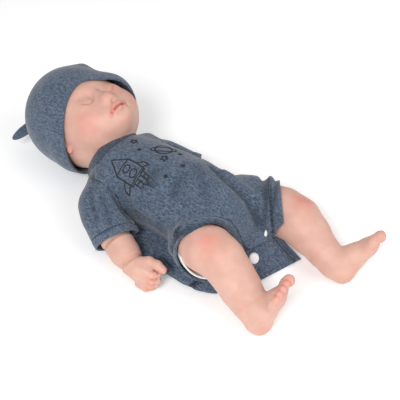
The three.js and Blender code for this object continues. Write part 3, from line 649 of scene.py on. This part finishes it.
def arm(side, stations, hand):
    shift = middle(f"{side}_arm") - ARM_MIDDLE[side]
    stations = [(*(np.array(s[:3]) + shift), s[3]) for s in stations]
    hand.origin = hand.origin + shift
    path = np.array(stations)[:, :3]
    lo = np.minimum(path.min(0) - 24, hand.origin - 38)
    hi = np.maximum(path.max(0) + 24, hand.origin + 38)
    clay = Clay(lo, hi, LIMB_VOXEL)
    clay.chain(stations, 4)
    marks = fist(clay, hand)
    wrist, forearm = path[6], path[4]
    ahead = unit(wrist - path[5])
    for at, radius in ((wrist, 12.4), (forearm, 16)):
        ring(clay, at, ahead, radius)
    points, faces = clay.surface()
    elbow = path[3] - vec(0, 0, 13)
    blush = spots(points, marks + [(elbow, 12, 0.15)])
    blush += 0.2 * np.clip(1 - np.abs((points - wrist) @ ahead) / 1.6, 0, 1)
    vinyl_limb(f"{side}_arm", points, faces, blush)


def ring(clay, at, axis, radius):
    """A crease round a limb: a shallow groove on the outward and upper part."""
    side = unit(np.cross(axis, (0, 0, 1)))
    up = np.cross(side, axis)
    angles = np.linspace(-0.6, 3.7, 13)
    turn = [at + radius * (math.cos(a) * side + math.sin(a) * up) + axis * 1.5 * math.sin(a) for a in angles]
    for a, b in zip(turn, turn[1:]):
        clay.carve(cone(a, b, 1.1), 3)


LIMB_VOXEL = 1.1
FOOT_SIZE = 0.94
FOOT = [(6, 0, 13, 10), (16, 0, 14, 11.5), (28, 0, 12.5, 11), (40, 0, 10, 9)]
# each toe's tip, its place across the foot and its radius
TOES = [(61.5, -10.4, 5.9), (62, -2.4, 4.3), (60, 4, 4.0), (57, 9.6, 3.8), (53.5, 14.4, 3.5)]


def foot(clay, at):
    """A bare foot: +X from heel to toes, +Z its top, the big toe on the -Y side."""

    def on(*p):
        return at(*(FOOT_SIZE * vec(*p)))

    def pad(centre, radii):
        return blob(FOOT_SIZE * vec(*centre), FOOT_SIZE * vec(*radii), at)

    clay.add(pad((4, 0, 10.5), (12, 12, 11.5)), 4)
    for a, b in zip(FOOT, FOOT[1:]):
        clay.add(cone(on(*a[:3]), on(*b[:3]), FOOT_SIZE * a[3], FOOT_SIZE * b[3]), 7)
    clay.add(pad((45, 1, 8.2), (12, 16, 8)), 6)
    clay.carve(pad((28, -14, -3), (13, 10, 6)), 7)
    marks = [(on(0, 0, 4), 11, 0.35), (on(46, -4, 1), 12, 0.18)]
    for tip, y, r in TOES:
        size = FOOT_SIZE * r
        clay.add(cone(on(tip - 13, y * 0.94, 8.6), on(tip - 5, y, 9.8), size * 0.95, size * 0.9), 1.0)
        clay.add(pad((tip - 1, y, 7.8), (r * 1.15, r * 0.98, r * 1.05)), 0.7)
        marks.append((on(tip + 1, y, 8.5), 5, 0.3))
    for (tip, y, r), (_, following, _) in zip(TOES, TOES[1:]):
        between = (y + r + following) / 2
        clay.carve(cone(on(tip - 12, between, 12.5), on(tip - 1, between, 12), 0.7), 1.2)
    return marks


def leg(side, stations, sole, knee):
    shift = middle(f"{side}_leg") - LEG_MIDDLE[side]
    stations = [(*(np.array(s[:3]) + shift), s[3]) for s in stations]
    sole.origin = sole.origin + shift
    path = np.array(stations)[:, :3]
    toe = sole(62, 0, 8)
    lo = np.minimum(np.minimum(path.min(0) - 32, toe - 22), sole.origin - 20)
    hi = np.maximum(np.maximum(path.max(0) + 32, toe + 22), sole.origin + 20)
    clay = Clay(lo, hi, LIMB_VOXEL)
    clay.chain(stations, 6)
    marks = foot(clay, sole)
    ankle = path[-1]
    clay.add(cone(ankle, sole(7, 0, 13), 13.5, 11), 5)
    clay.add(cone(ankle, sole(17, 0, 15), 12, 9), 8)
    ahead = unit(ankle - path[5])
    points, faces = clay.surface()
    knee = np.array(knee) + shift
    blush = spots(points, marks + [(knee, 11, 0.5), (knee + vec(8, 0, -8), 14, 0.16)])
    blush += 0.16 * np.clip(1 - np.abs((points - path[6]) @ ahead) / 1.8, 0, 1)
    vinyl_limb(f"{side}_leg", points, faces, blush)


# ---------------------------------------------------------------- stage
LAMPS = (("key", (0.25, -1.0, 1.1), 0.55, 13.0), ("fill", (0.9, 0.1, 0.8), 1.0, 5.0))
CAMERA_TURN, CAMERA_RISE = math.radians(35), math.radians(46)
CAMERA_AIM, CAMERA_REACH = Vector((0.0038, 0.0146, 0.030)), 0.826


def stage():
    """A pale floor, a soft studio and the camera."""
    reach, drop = 3000, 0.4
    corners = [(-reach, -reach, 0), (reach, -reach, 0), (reach, reach, 0), (-reach, reach, 0)]
    piece("floor", np.array(corners, float) - vec(0, 0, drop), [(0, 1, 2, 3)], floor_finish())
    world = bpy.data.worlds.new("studio")
    bpy.context.scene.world = world
    world.use_nodes = True
    world.node_tree.nodes["Background"].inputs["Color"].default_value = (1, 1, 1, 1)
    world.node_tree.nodes["Background"].inputs["Strength"].default_value = 0.56
    for name, at, size, power in LAMPS:
        lamp = bpy.data.lights.new(name, "AREA")
        lamp.shape = "DISK"
        lamp.size = size
        lamp.energy = power
        holder = bpy.data.objects.new(name, lamp)
        holder.location = at
        holder.rotation_mode = "QUATERNION"
        holder.rotation_quaternion = (Vector(at) - Vector((0, 0, 0.04))).to_track_quat("Z", "Y")
        bpy.context.scene.collection.objects.link(holder)
    bpy.context.scene.view_settings.view_transform = "Standard"
    camera = bpy.data.cameras.new("camera")
    camera.angle = math.radians(28)
    eye = bpy.data.objects.new("camera", camera)
    level = math.cos(CAMERA_RISE)
    back = Vector((math.sin(CAMERA_TURN) * level, -math.cos(CAMERA_TURN) * level, math.sin(CAMERA_RISE)))
    eye.location = CAMERA_AIM + back * CAMERA_REACH
    eye.rotation_mode = "QUATERNION"
    eye.rotation_quaternion = back.to_track_quat("Z", "Y")
    bpy.context.scene.collection.objects.link(eye)
    bpy.context.scene.camera = eye


# ---------------------------------------------------------------- romper
TRUNK = [
    (-108, 0, 42, 30, 27), (-92, 0, 40, 36, 33), (-76, 0, 38, 41, 38), (-58, 0, 38, 43, 41),
    (-30, 0, 39, 44, 42), (-4, 0, 40, 45, 42.5), (14, 0, 39.5, 44, 42), (32, 0, 38, 40, 39),
    (48, 0, 36.5, 35, 35.5), (60, 0, 34, 32, 31.5), (69, 0, 28, 31, 23), (78, 0, 21, 31, 17),
    (90, 0, 16, 30, 13), (104, 0, 9, 28, 8),
]
COLLAR_PLANE = (NECK + NECK_OUT * 3, NECK_OUT)
CLOTH = 1.9
HEM = 11.0
NO_DARK_LINE = 9.0  # a distance from the nearest seam or painted shade line that leaves no mark
SIGN = {"right": -1, "left": 1}
SHOULDER = {"right": (-78, -34, 41, 22), "left": (-78, 31, 39.5, 22)}
SLEEVE_HEM = {"right": ((-35, -75.5, 25.5), (0.80, -0.42, -0.42)), "left": ((-35, 66, 20), (0.93, 0.3, -0.2))}
LEG_HEM = {"right": ((56.8, -50, 47), (0.667, -0.63, 0.40)), "left": ((84.4, 43.5, 35), (0.818, 0.56, 0.125))}
OPENING = {"right": 34, "left": 37}
SLEEVE_MOUTH = 34
COLLAR_REACH = 37
SLEEVE_START = 47  # how far out from the middle the sleeves begin
PLACKET = ((87, 0, 30), (0.915, -0.333, -0.25))
GROIN = {"right": ((46, -22, 40), (0.55, -0.83, 0.08)), "left": ((44, 22, 38), (0.60, 0.79, 0.08))}
ARMHOLE = [
    (-92, 38, 60), (-83, 46, 58), (-68, 46, 55), (-56, 45, 50), (-44, 48, 40), (-37, 56, 28), (-40, 56, 14),
]
# where the right shoulder's layers overlap
LAP = [(-110, -40, 50), (-96, -43, 59), (-86, -47, 60), (-78, -50, 57)]
SIDE_SEAM = [(-38, -50, 32), (-20, -54, 26), (2, -60, 20), (22, -64, 17), (38, -66, 18)]
SEAMS = {
    "right": [(x, -y, z) for x, y, z in ARMHOLE],
    "left": [(x, y, z - 8) for x, y, z in ARMHOLE],
    "lap": LAP,
    "side": SIDE_SEAM,
}


def beyond(points, plane):
    """Signed distance past a plane of point and normal."""
    return (points - vec(*plane[0])) @ unit(plane[1])


def garment_clay(sleeves=True):
    clay = Clay((-112, -100, -4), (112, 92, 96), 1.7)
    clay.add(barrel(TRUNK))
    arms = (("right", RIGHT_ARM), ("left", LEFT_ARM)) if sleeves else ()
    for side, stations in arms:
        sleeve = [SHOULDER[side]] + [(*s[:3], s[3] + 3.6 + 0.3 * i) for i, s in enumerate(stations[1:6])]
        for a, b in zip(sleeve, sleeve[1:]):
            clay.add(cone(a[:3], b[:3], a[3], b[3]), 7)
    clay.add(cone((28, -18, 35), (58, -47, 43), 32, 28), 12)
    clay.add(cone((58, -47, 43), (74, -54, 47), 28, 26), 8)
    clay.add(cone((28, 18, 33), (54, 41, 30), 31, 26), 12)
    clay.add(cone((54, 41, 30), (100, 43, 37), 27, 28), 7)
    for stations in (RIGHT_LEG, LEFT_LEG):
        for a, b in zip(stations[:4], stations[1:5]):
            clay.add(cone(a[:3], b[:3], a[3] + 3.2, b[3] + 3.2), 6)
    clay.add(blob((42, -44, 4), (40, 24, 7)), 9)
    clay.add(blob((2, -42, 5), (46, 25, 9)), 12)
    clay.floor(0.6, 6)
    return clay


# folds of the cloth: width, height (negative for a valley) and a path
CREASES = [
    # the belly down into the left groin
    (5.0, -3.0, [(14, 26, 78), (30, 20, 76), (46, 17, 70), (60, 16, 60), (74, 14, 42)]),
    (5.0, 2.2, [(24, 32, 72), (40, 30, 66), (56, 28, 56), (72, 26, 46), (84, 24, 38)]),
    # gathers round the left thigh
    (3.6, -2.8, [(46, 64, 40), (56, 54, 58), (66, 40, 62), (76, 28, 52), (82, 22, 38)]),
    (3.0, 1.8, [(52, 66, 40), (62, 56, 58), (72, 42, 60), (82, 28, 50), (88, 24, 36)]),
    (2.6, -1.8, [(60, 66, 44), (69, 54, 58), (79, 38, 56), (86, 27, 46)]),
    # round the right knee's hem
    (4.2, -3.4, [(26, -66, 44), (30, -60, 62), (40, -50, 74), (54, -38, 76), (66, -28, 66), (74, -24, 52)]),
    (3.2, 1.8, [(22, -60, 58), (32, -48, 76), (48, -36, 78), (62, -26, 70)]),
    # soft drags across the belly
    (7.0, -1.8, [(-30, -18, 82), (-24, -34, 72), (-16, -46, 58)]),
    (6.0, -1.6, [(0, -14, 84), (2, -32, 74), (-2, -46, 58)]),
    (6.0, 1.3, [(-14, -20, 84), (-10, -36, 72), (-6, -46, 60)]),
    (5.0, 1.5, [(14, -20, 82), (22, -38, 74), (22, -52, 60)]),
    (6.0, -1.2, [(6, 8, 84), (20, -4, 82), (34, -14, 76)]),
    # pulled from the armpit
    (3.6, -2.6, [(-62, -46, 56), (-52, -48, 50), (-40, -50, 44), (-26, -50, 40)]),
    (3.4, 1.6, [(-56, -46, 62), (-42, -48, 56), (-26, -49, 50), (-12, -48, 50)]),
    (3.2, 1.6, [(-40, -50, 34), (-22, -52, 30), (-4, -56, 28), (12, -62, 24)]),
    (3.4, -1.8, [(-34, -50, 26), (-12, -54, 20), (8, -62, 16)]),
    # the sleeve
    (3.2, -1.8, [(-78, -58, 58), (-66, -68, 54), (-54, -76, 46)]),
    (3.2, -1.6, [(-62, -60, 58), (-50, -66, 50), (-42, -74, 42)]),
    (2.8, 1.2, [(-70, -62, 60), (-58, -70, 54), (-46, -78, 44)]),
    # the shoulder's overlap
    (1.6, 1.1, [(-96, -30, 60), (-86, -38, 62), (-76, -44, 62), (-66, -42, 66)]),
]


def lift_at(points, creases):
    """How far the creases push the cloth out, or pull it in where negative."""
    lift = np.zeros(len(points))
    for width, height, path in creases:
        gap = along(points, path) / width
        lift += 1.35 * height * np.exp(-gap * gap)
    return lift


def cloth_values(points, seam_and_shade_line, creases):
    """What the jersey's shader reads, for the outer and the inner sheet: seams and painted shade lines outside,
    painted shade in the valleys on both.
    """
    # painted shade, from how deep each crease's valley pulls in
    crease_shade = np.clip(-lift_at(points, creases) / 3.6, 0, 1)
    return {"seam_and_shade_line": np.concatenate([seam_and_shade_line, np.full(len(points), NO_DARK_LINE)]), "crease_shade": np.concatenate([crease_shade, crease_shade])}


def creased(points, faces, creases):
    """Moves the cloth in and out along its creases, and in small uneven waves like slack jersey."""
    x, y, z = points.T
    slack = 0.6 * np.sin(x / 7.1 + 1.3 * np.sin(y / 9.3))
    slack = slack * np.sin(y / 8.3 + z / 11.7 + 1.1 * np.sin(x / 13.1))
    lift = (lift_at(points, creases) + slack) * np.clip(z / 6, 0, 1)
    return points + normals_of(points, faces) * lift[:, None]


def within_tube(points, plane, radius, wide=None, above=14):
    """Positive past a plane and inside a tube that stands on it; the tube is `wide` higher than `above`."""
    past = beyond(points, plane)
    gap = points - vec(*plane[0])
    radial = np.linalg.norm(gap - past[:, None] * unit(plane[1]), axis=1)
    inside = radius - radial
    if wide:
        inside = np.maximum(inside, np.minimum(wide - radial, points[:, 2] - above))
    return np.minimum(past, inside)


def laid(points, path):
    """A path over a mesh: the given path in short steps, each dropped on the nearest point of the mesh."""
    path = [np.array(p, float) for p in path]
    steps = [path[0]]
    for a, b in zip(path, path[1:]):
        count = max(1, int(np.linalg.norm(b - a) / 3))
        steps += [a + (b - a) * (k + 1) / count for k in range(count)]
    on = np.array([points[np.argmin(((points - p) ** 2).sum(1))] for p in steps])
    for _ in range(2):
        on[1:-1] = (on[:-2] + 2 * on[1:-1] + on[2:]) / 4
    return list(on)


def limb_share(points, limb, side):
    """Below zero on the part of the romper that belongs to a sleeve or a leg."""
    sign = SIGN[side]
    if limb == "sleeve":
        return np.maximum(SLEEVE_START - sign * points[:, 1], points[:, 0] + 10)
    return -beyond(points, GROIN[side])


def romper_sheet():
    """The whole romper cut at its edges, with the creases and seams as they lie on it."""
    points, faces = garment_clay().surface()
    points = relaxed(points, faces, 2)
    creases = [(width, height, laid(points, path)) for width, height, path in CREASES]
    points = creased(points, faces, creases)
    seams = {key: laid(points, path) for key, path in SEAMS.items()}
    points, faces = clipped(points, faces, within_tube(points, COLLAR_PLANE, COLLAR_REACH))
    for side in ("right", "left"):
        cut = within_tube(points, SLEEVE_HEM[side], SLEEVE_MOUTH)
        clear = np.minimum(SIGN[side] * points[:, 1] - SLEEVE_START + 1, -points[:, 0])
        points, faces = clipped(points, faces, np.minimum(cut, clear))
        wide = 50 if side == "right" else None
        points, faces = clipped(points, faces, within_tube(points, LEG_HEM[side], OPENING[side], wide))
    points, faces = clipped(points, faces, within_tube(points, PLACKET, 36))
    return *largest(points, faces), creases, seams


def make_romper():
    """The romper's body, its sleeves and its legs, returning the body for the print to lie on."""
    points, faces, creases, seams = romper_sheet()
    limbs = []
    for limb in ("sleeve", "romper_leg"):
        for side in ("right", "left"):
            value = limb_share(points, limb, side)
            limbs.append((limb, side, *clipped(points, faces, value)))
            points, faces = clipped(points, faces, -value)

    seam_and_shade_line = np.min([along(points, path) for path in seams.values()], axis=0)
    past = beyond(points, PLACKET)
    radial = np.linalg.norm(points - vec(*PLACKET[0]) - past[:, None] * unit(PLACKET[1]), axis=1)
    # a painted shadow line just inside the front panel's edge, and a stitch line 8 mm in
    stitches = np.minimum(np.abs(past + 0.4), np.abs(past + 8) + 0.6)
    seam_and_shade_line = np.minimum(np.minimum(seam_and_shade_line, NO_DARK_LINE), stitches + NO_DARK_LINE * (radial > 35))
    sheet = with_thickness(points, faces, CLOTH)
    values = cloth_values(points, seam_and_shade_line, creases)
    piece("romper_body", *sheet, JERSEY, "torso", "jersey", ["romper_front", "romper_back"], values)
    for limb, side, p, f in limbs:
        make_romper_limb(limb, side, p, f, creases, seams)
    return points, faces


def make_romper_limb(limb, side, points, faces, creases, seams):
    """A sleeve or a leg of the romper: a folded hem band, its seams and its painted shade lines."""
    sleeve = limb == "sleeve"
    back = -beyond(points, SLEEVE_HEM[side] if sleeve else LEG_HEM[side])
    width = 8.0 if sleeve else HEM
    band = 0.9 * np.clip((width - back) * 1.2, 0, 1) - 0.5 * np.exp(-(((back - width) / 1.2) ** 2))
    points = points + normals_of(points, faces) * band[:, None]
    # a dark line in the groove at the top of the hem band
    seam_and_shade_line = np.abs(back - width)
    if sleeve:
        seam_and_shade_line = np.minimum(seam_and_shade_line, along(points, seams[side]))
    else:
        # a second dark line 1.9 mm nearer the opening, painted shade along the folded band
        seam_and_shade_line = np.minimum(seam_and_shade_line, np.abs(back - width + 1.9) + 0.25)
    if side == "right":
        seam_and_shade_line = np.minimum(seam_and_shade_line, along(points, seams["lap" if sleeve else "side"]))
    sheet = with_thickness(points, faces, CLOTH)
    node = f"{side}_{limb}"
    obj = piece(f"cloth_{node}", *sheet, JERSEY, None, "jersey", [node], cloth_values(points, seam_and_shade_line, creases))
    if sleeve:
        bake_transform(obj)
    else:
        hang(obj)


def hang(obj):
    """Cloth over the hip, its place baked into its mesh; it is not attached to the leg."""
    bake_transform(obj)


def make_flanks():
    """The romper's side panels under the sleeves, a little inside the body of the romper."""
    points, faces = garment_clay(sleeves=False).surface(-0.7)
    points = relaxed(points, faces, 2)
    value = np.maximum(30 - np.abs(points[:, 1]), np.abs(points[:, 0] + 46) - 52)
    points, faces = clipped(points, faces, np.maximum(value, beyond(points, COLLAR_PLANE) + 8))
    points[:, 2] = np.maximum(points[:, 2], 1.2)
    sheet = with_thickness(points, faces, 0.9)
    values = {"seam_and_shade_line": np.full(2 * len(points), NO_DARK_LINE), "crease_shade": np.zeros(2 * len(points))}
    piece("romper_flanks", *sheet, JERSEY, "torso", "jersey", (), values)


def largest(points, faces):
    """Only the biggest connected part of a mesh."""
    label = np.arange(len(points))
    while True:
        low = label[faces].min(1)
        fresh = label.copy()
        for k in range(3):
            np.minimum.at(fresh, faces[:, k], low)
        fresh = fresh[fresh]
        if (fresh == label).all():
            break
        label = fresh
    names, count = np.unique(label[faces[:, 0]], return_counts=True)
    faces = faces[label[faces[:, 0]] == names[count.argmax()]]
    used, faces = np.unique(faces, return_inverse=True)
    return points[used], faces.reshape(-1, 3)


def sheet_grid(rows, columns, place):
    """A square-meshed sheet, place(u, v) giving a point for u and v from 0 to 1."""
    u, v = np.meshgrid(np.linspace(0, 1, rows), np.linspace(0, 1, columns), indexing="ij")
    points = place(u.ravel(), v.ravel())
    i, j = np.meshgrid(np.arange(rows - 1), np.arange(columns - 1), indexing="ij")
    a = (i * columns + j).ravel()
    b = a + columns
    return points, np.concatenate([np.stack([a, b, b + 1], 1), np.stack([a, b + 1, a + 1], 1)])


def make_flap():
    """The snapped back flap: it comes out from under the front panel's edge and runs down to the floor."""
    top = (vec(70, -26, 26.5), vec(90, 25, 27.5))
    foot_edge = (vec(97, -27, 2.2), vec(119, 27, 2.2))
    rows, columns = 50, 76

    def place(u, v):
        u, v = u[:, None], v[:, None]
        flat = (1 - u) * ((1 - v) * top[0] + v * top[1]) + u * ((1 - v) * foot_edge[0] + v * foot_edge[1])
        sag = 2.0 * np.sin(math.pi * u) * vec(-0.5, 0.1, -0.5)
        wave = u * (np.sin(6.0 * v + 1.0) + 2.4 * np.exp(-(((v - 0.8) / 0.07) ** 2)))
        return flat + sag + wave * vec(0.5, 0, 0.8)

    points, faces = sheet_grid(rows, columns, place)
    u, v = np.meshgrid(np.linspace(0, 1, rows), np.linspace(0, 1, columns), indexing="ij")
    edge = np.minimum(np.minimum(v * 58, (1 - v) * 58), (1 - u) * 36).ravel()
    # a dark hem line 4 mm in from the edges, and painted shade along the fold near the flap's +Y side
    seam_and_shade_line = np.minimum(np.abs(edge - 4.0) + 0.5, np.abs(v.ravel() - 0.87) * 58 + 0.1)
    sheet = with_thickness(points, faces, 2.0)
    piece("romper_back_flap", *sheet, JERSEY, "torso", "jersey", (), {"seam_and_shade_line": np.concatenate([seam_and_shade_line, seam_and_shade_line])})
    return BVHTree.FromPolygons(points.tolist(), faces.tolist())


def make_neckband():
    side = unit(np.cross(NECK_OUT, (0, 0, 1)))
    up = np.cross(side, NECK_OUT)
    around, rows = 120, 20

    def place(u, v):
        a = 2 * math.pi * v
        t = 2 * math.pi * u
        h = 3.6 + 5.6 * np.cos(t)
        r = 32.4 - 0.10 * h + 1.35 * np.sin(t) + 1.0 * np.sin(2 * a + 0.6)
        r = r - 0.035 * (h - 3) ** 2 * (h > 3)
        p = NECK + np.outer(h, NECK_OUT) + (r * np.cos(a))[:, None] * side + (r * np.sin(a))[:, None] * up
        return p

    points, faces = sheet_grid(rows, around, place)
    turn = np.tile(np.linspace(0, 1, around) * 110, rows)
    values = {"seam_and_shade_line": np.full(len(points), NO_DARK_LINE), "turn": turn}
    piece("ribbed_neckband", points, faces, RIB, "torso", "rib", ["romper_neckband"], values)


def surface_point(tree, x, y):
    hit, normal, _, _ = tree.ray_cast(Vector((x, y, 200)), Vector((0, 0, -1)))
    return (np.array(hit), np.array(normal)) if hit else (None, None)


# the stars round the rocket: centre and size
STARS = (
    ((-74, 8), 4.4), ((-30, 1), 4.2), ((-60, -1), 1.8), ((-23, 18), 2.2), ((-8, 2), 2.4), ((-14, -18), 2.0),
)


def oval(centre, along_it, across_it, tilt, count):
    """A closed ring of points: two half widths, turned by a tilt."""
    turned = np.array([[math.cos(tilt), -math.sin(tilt)], [math.sin(tilt), math.cos(tilt)]])
    angles = np.linspace(0, 2 * math.pi, count)
    return [centre + turned @ vec(along_it * math.cos(a), across_it * math.sin(a)) for a in angles]


def rocket_lines():
    """A rocket drawn in its own frame, its nose towards +u."""
    lines = [[(12, -8.5), (28, 0), (12, 8.5), (12, -8.5)]]
    lines.append([(12, 8.5), (-9, 8.5), (-9, -8.5), (12, -8.5)])
    for u in (6, -3.5):
        lines.append(oval(vec(u, 0), 3.6, 3.6, 0, 25))
    lines.append([(-11.5, -8.5), (-11.5, 8.5), (-9, 8.5)])
    lines.append([(-11.5, -8.5), (-9, -8.5)])
    for s in (-1, 1):
        lines.append([(1, s * 8.5), (-5, s * 13.5), (-12, s * 14.5), (-8, s * 8.8)])
        lines.append([(-11.5, s * 6), (-15, s * 6.4), (-15, s * 2), (-11.5, s * 2)])
    for v, reach in ((-4.2, 6), (0, 9), (4.2, 6)):
        side = -15.5 - reach * 0.6
        lines.append([(-15.5, v - 1.8), (side, v - 2), (-15.5 - reach, v), (side, v + 2), (-15.5, v + 1.8)])
    return lines


def star_line(centre, size):
    """A five-pointed star."""
    line = []
    for i in range(11):
        r = size if i % 2 == 0 else size * 0.45
        a = math.pi * i / 5 + 0.3
        line.append(vec(*centre) + r * vec(math.cos(a), math.sin(a)))
    return line


def make_print(tree):
    """Line drawing on the chest: a rocket, stars and a ringed planet, laid down on the cloth."""
    nose, tail = vec(-88, -21), vec(-16, -30)
    ahead = unit(nose - tail)
    across = vec(-ahead[1], ahead[0])
    lines = [[(nose + tail) / 2 + u * ahead + v * across for u, v in line] for line in rocket_lines()]
    planet = vec(-40, 13)
    lines.append(oval(planet, 8.5, 8.5, 0, 33))
    lines.append(oval(planet, 13, 4, math.atan2(0.6, 0.8), 41))
    lines += [star_line(*star) for star in STARS]
    points, faces = [], []
    for line in lines:
        small = len(line) == 11 and np.ptp([p[0] for p in line]) <= 6
        ribbon(tree, line, 0.8 if small else 0.7, points, faces)
    piece("chest_print", np.array(points), np.array(faces), INK, "torso", "jersey")


def ribbon(tree, line, half, points, faces):
    """Adds a flat band of ink along a line, a little proud of the cloth under it."""
    line = [np.array(p, float) for p in line]
    samples = [line[0]]
    for a, b in zip(line, line[1:]):
        count = max(1, int(np.linalg.norm(b - a) / 1.2))
        samples += [a + (b - a) * (i + 1) / count for i in range(count)]
    base, run = len(points), []
    for i, p in enumerate(samples):
        hit, normal = surface_point(tree, *p)
        if hit is None:
            return
        ahead = samples[min(i + 1, len(samples) - 1)] - samples[max(i - 1, 0)]
        along_surface = np.append(ahead, 0)
        along_surface = along_surface - normal * (along_surface @ normal)
        side = unit(np.cross(normal, along_surface)) * half
        for offset, lift in ((-1, 0.1), (-0.6, 0.42), (0.6, 0.42), (1, 0.1)):
            points.append(hit + side * offset + normal * lift)
    for i in range(len(samples) - 1):
        for k in range(3):
            a = base + 4 * i + k
            faces.append((a, a + 4, a + 5))
            faces.append((a, a + 5, a + 1))


def make_snap(name, node, at, normal, radius=5.6):
    """A pressed resin cap: a flat rim, a rounded shoulder and a low dome."""
    profile = [(0, 0), (radius, 0), (radius, 0.9), (radius - 0.5, 1.5), (radius - 1.4, 1.9)]
    profile += [(2.6, 2.2), (1.2, 2.3), (0, 2.3)]
    around = 40
    z = unit(normal)
    x = unit(np.cross((0, 1, 0), z))
    y = np.cross(z, x)
    points = [np.array(at) + r * (math.cos(a) * x + math.sin(a) * y) + h * z
              for r, h in profile for a in np.linspace(0, 2 * math.pi, around, endpoint=False)]
    faces = []
    for i in range(len(profile) - 1):
        for j in range(around):
            a, b = i * around + j, i * around + (j + 1) % around
            faces += [(a, b, b + around), (a, b + around, a + around)]
    piece(name, np.array(points), np.array(faces), SNAP, "torso", "snap_cap", [node])


def make_nappy():
    """The white nappy that shows in the right leg opening."""
    clay = garment_clay()
    points, faces = clay.surface(-3.2)
    plane = LEG_HEM["right"]
    back = -beyond(points, plane)
    low = points[:, 2] - 46
    value = np.maximum(np.maximum(-back - 1.5, back - 26), np.maximum(low, points[:, 1] + 24))
    points, faces = clipped(points, faces, value)
    points, faces = largest(points, faces)
    sheet = with_thickness(relaxed(points, faces, 3), faces, 1.8)
    hang(piece("nappy_edge", *sheet, NAPPY, None, "nappy", ["nappy"]))


RIGHT_SOLE = Place((138, -69, 4.9), (0.21, 0.29, 0.935), (-0.9, 0, 0.42), mirror=True)
LEFT_SOLE = Place((172, 26, 5.2), (0.31, 0.59, 0.745), (-0.94, 0.0, 0.33))
RIGHT_HAND = Place((1, -87, 18), (0.98, -0.1, -0.08), (0.1, 0.3, 0.95))
LEFT_HAND = Place((-5, 65, 16.4), (0.98, 0.12, -0.06), (0.1, -0.3, 0.95), mirror=True)
# two snaps' places on the flap and how deep they sit, the second half under the front panel's edge;
# the third cap is shown by its own solid
SNAPS = ((1, 85.5, -10, 0.2), (2, 85, 8, 4.5))

arm("right", RIGHT_ARM, RIGHT_HAND)
arm("left", LEFT_ARM, LEFT_HAND)
leg("right", RIGHT_LEG, RIGHT_SOLE, (62, -60, 78))
leg("left", LEFT_LEG, LEFT_SOLE, (101, 50, 66))
torso_points, torso_faces = make_romper()
flap_tree = make_flap()
make_flanks()
make_neckband()
make_print(BVHTree.FromPolygons(torso_points.tolist(), torso_faces.tolist()))
for number, x, y, depth in SNAPS:
    hit, normal = surface_point(flap_tree, x, y)
    make_snap(f"snap_cap_{number}", f"snap_{number}", hit - depth * normal, normal)
make_nappy()

PLASTICS = {
    "shell": plain_material("trunk_plastic", (0.78, 0.50, 0.42, 1), 0.5),
    "white_plastic": plain_material("white_moulding", (0.82, 0.82, 0.79, 1), 0.45),
    "black_plastic": plain_material("black_moulding", (0.025, 0.026, 0.028, 1), 0.5),
    "cell": plain_material("cell_wrap", (0.035, 0.065, 0.11, 1), 0.35),
    "board": plain_material("board_lacquer", (0.012, 0.10, 0.045, 1), 0.4),
    "wire": plain_material("wire_jacket", (0.38, 0.025, 0.02, 1), 0.5),
    "steel": plain_material("plated_steel", (0.62, 0.63, 0.65, 1), 0.32, 1.0),
}


def dress_cad_nodes():
    """Gives every CAD node that stays shown and has one of the plastics' slots the material of its slot."""
    for part in frame["record"]["subparts"]:
        obj = frame["nodes"][part["node"]]
        if part["material_slot"] in PLASTICS and not obj.hide_render:
            obj.data.materials.clear()
            obj.data.materials.append(PLASTICS[part["material_slot"]])


dress_cad_nodes()
stage()
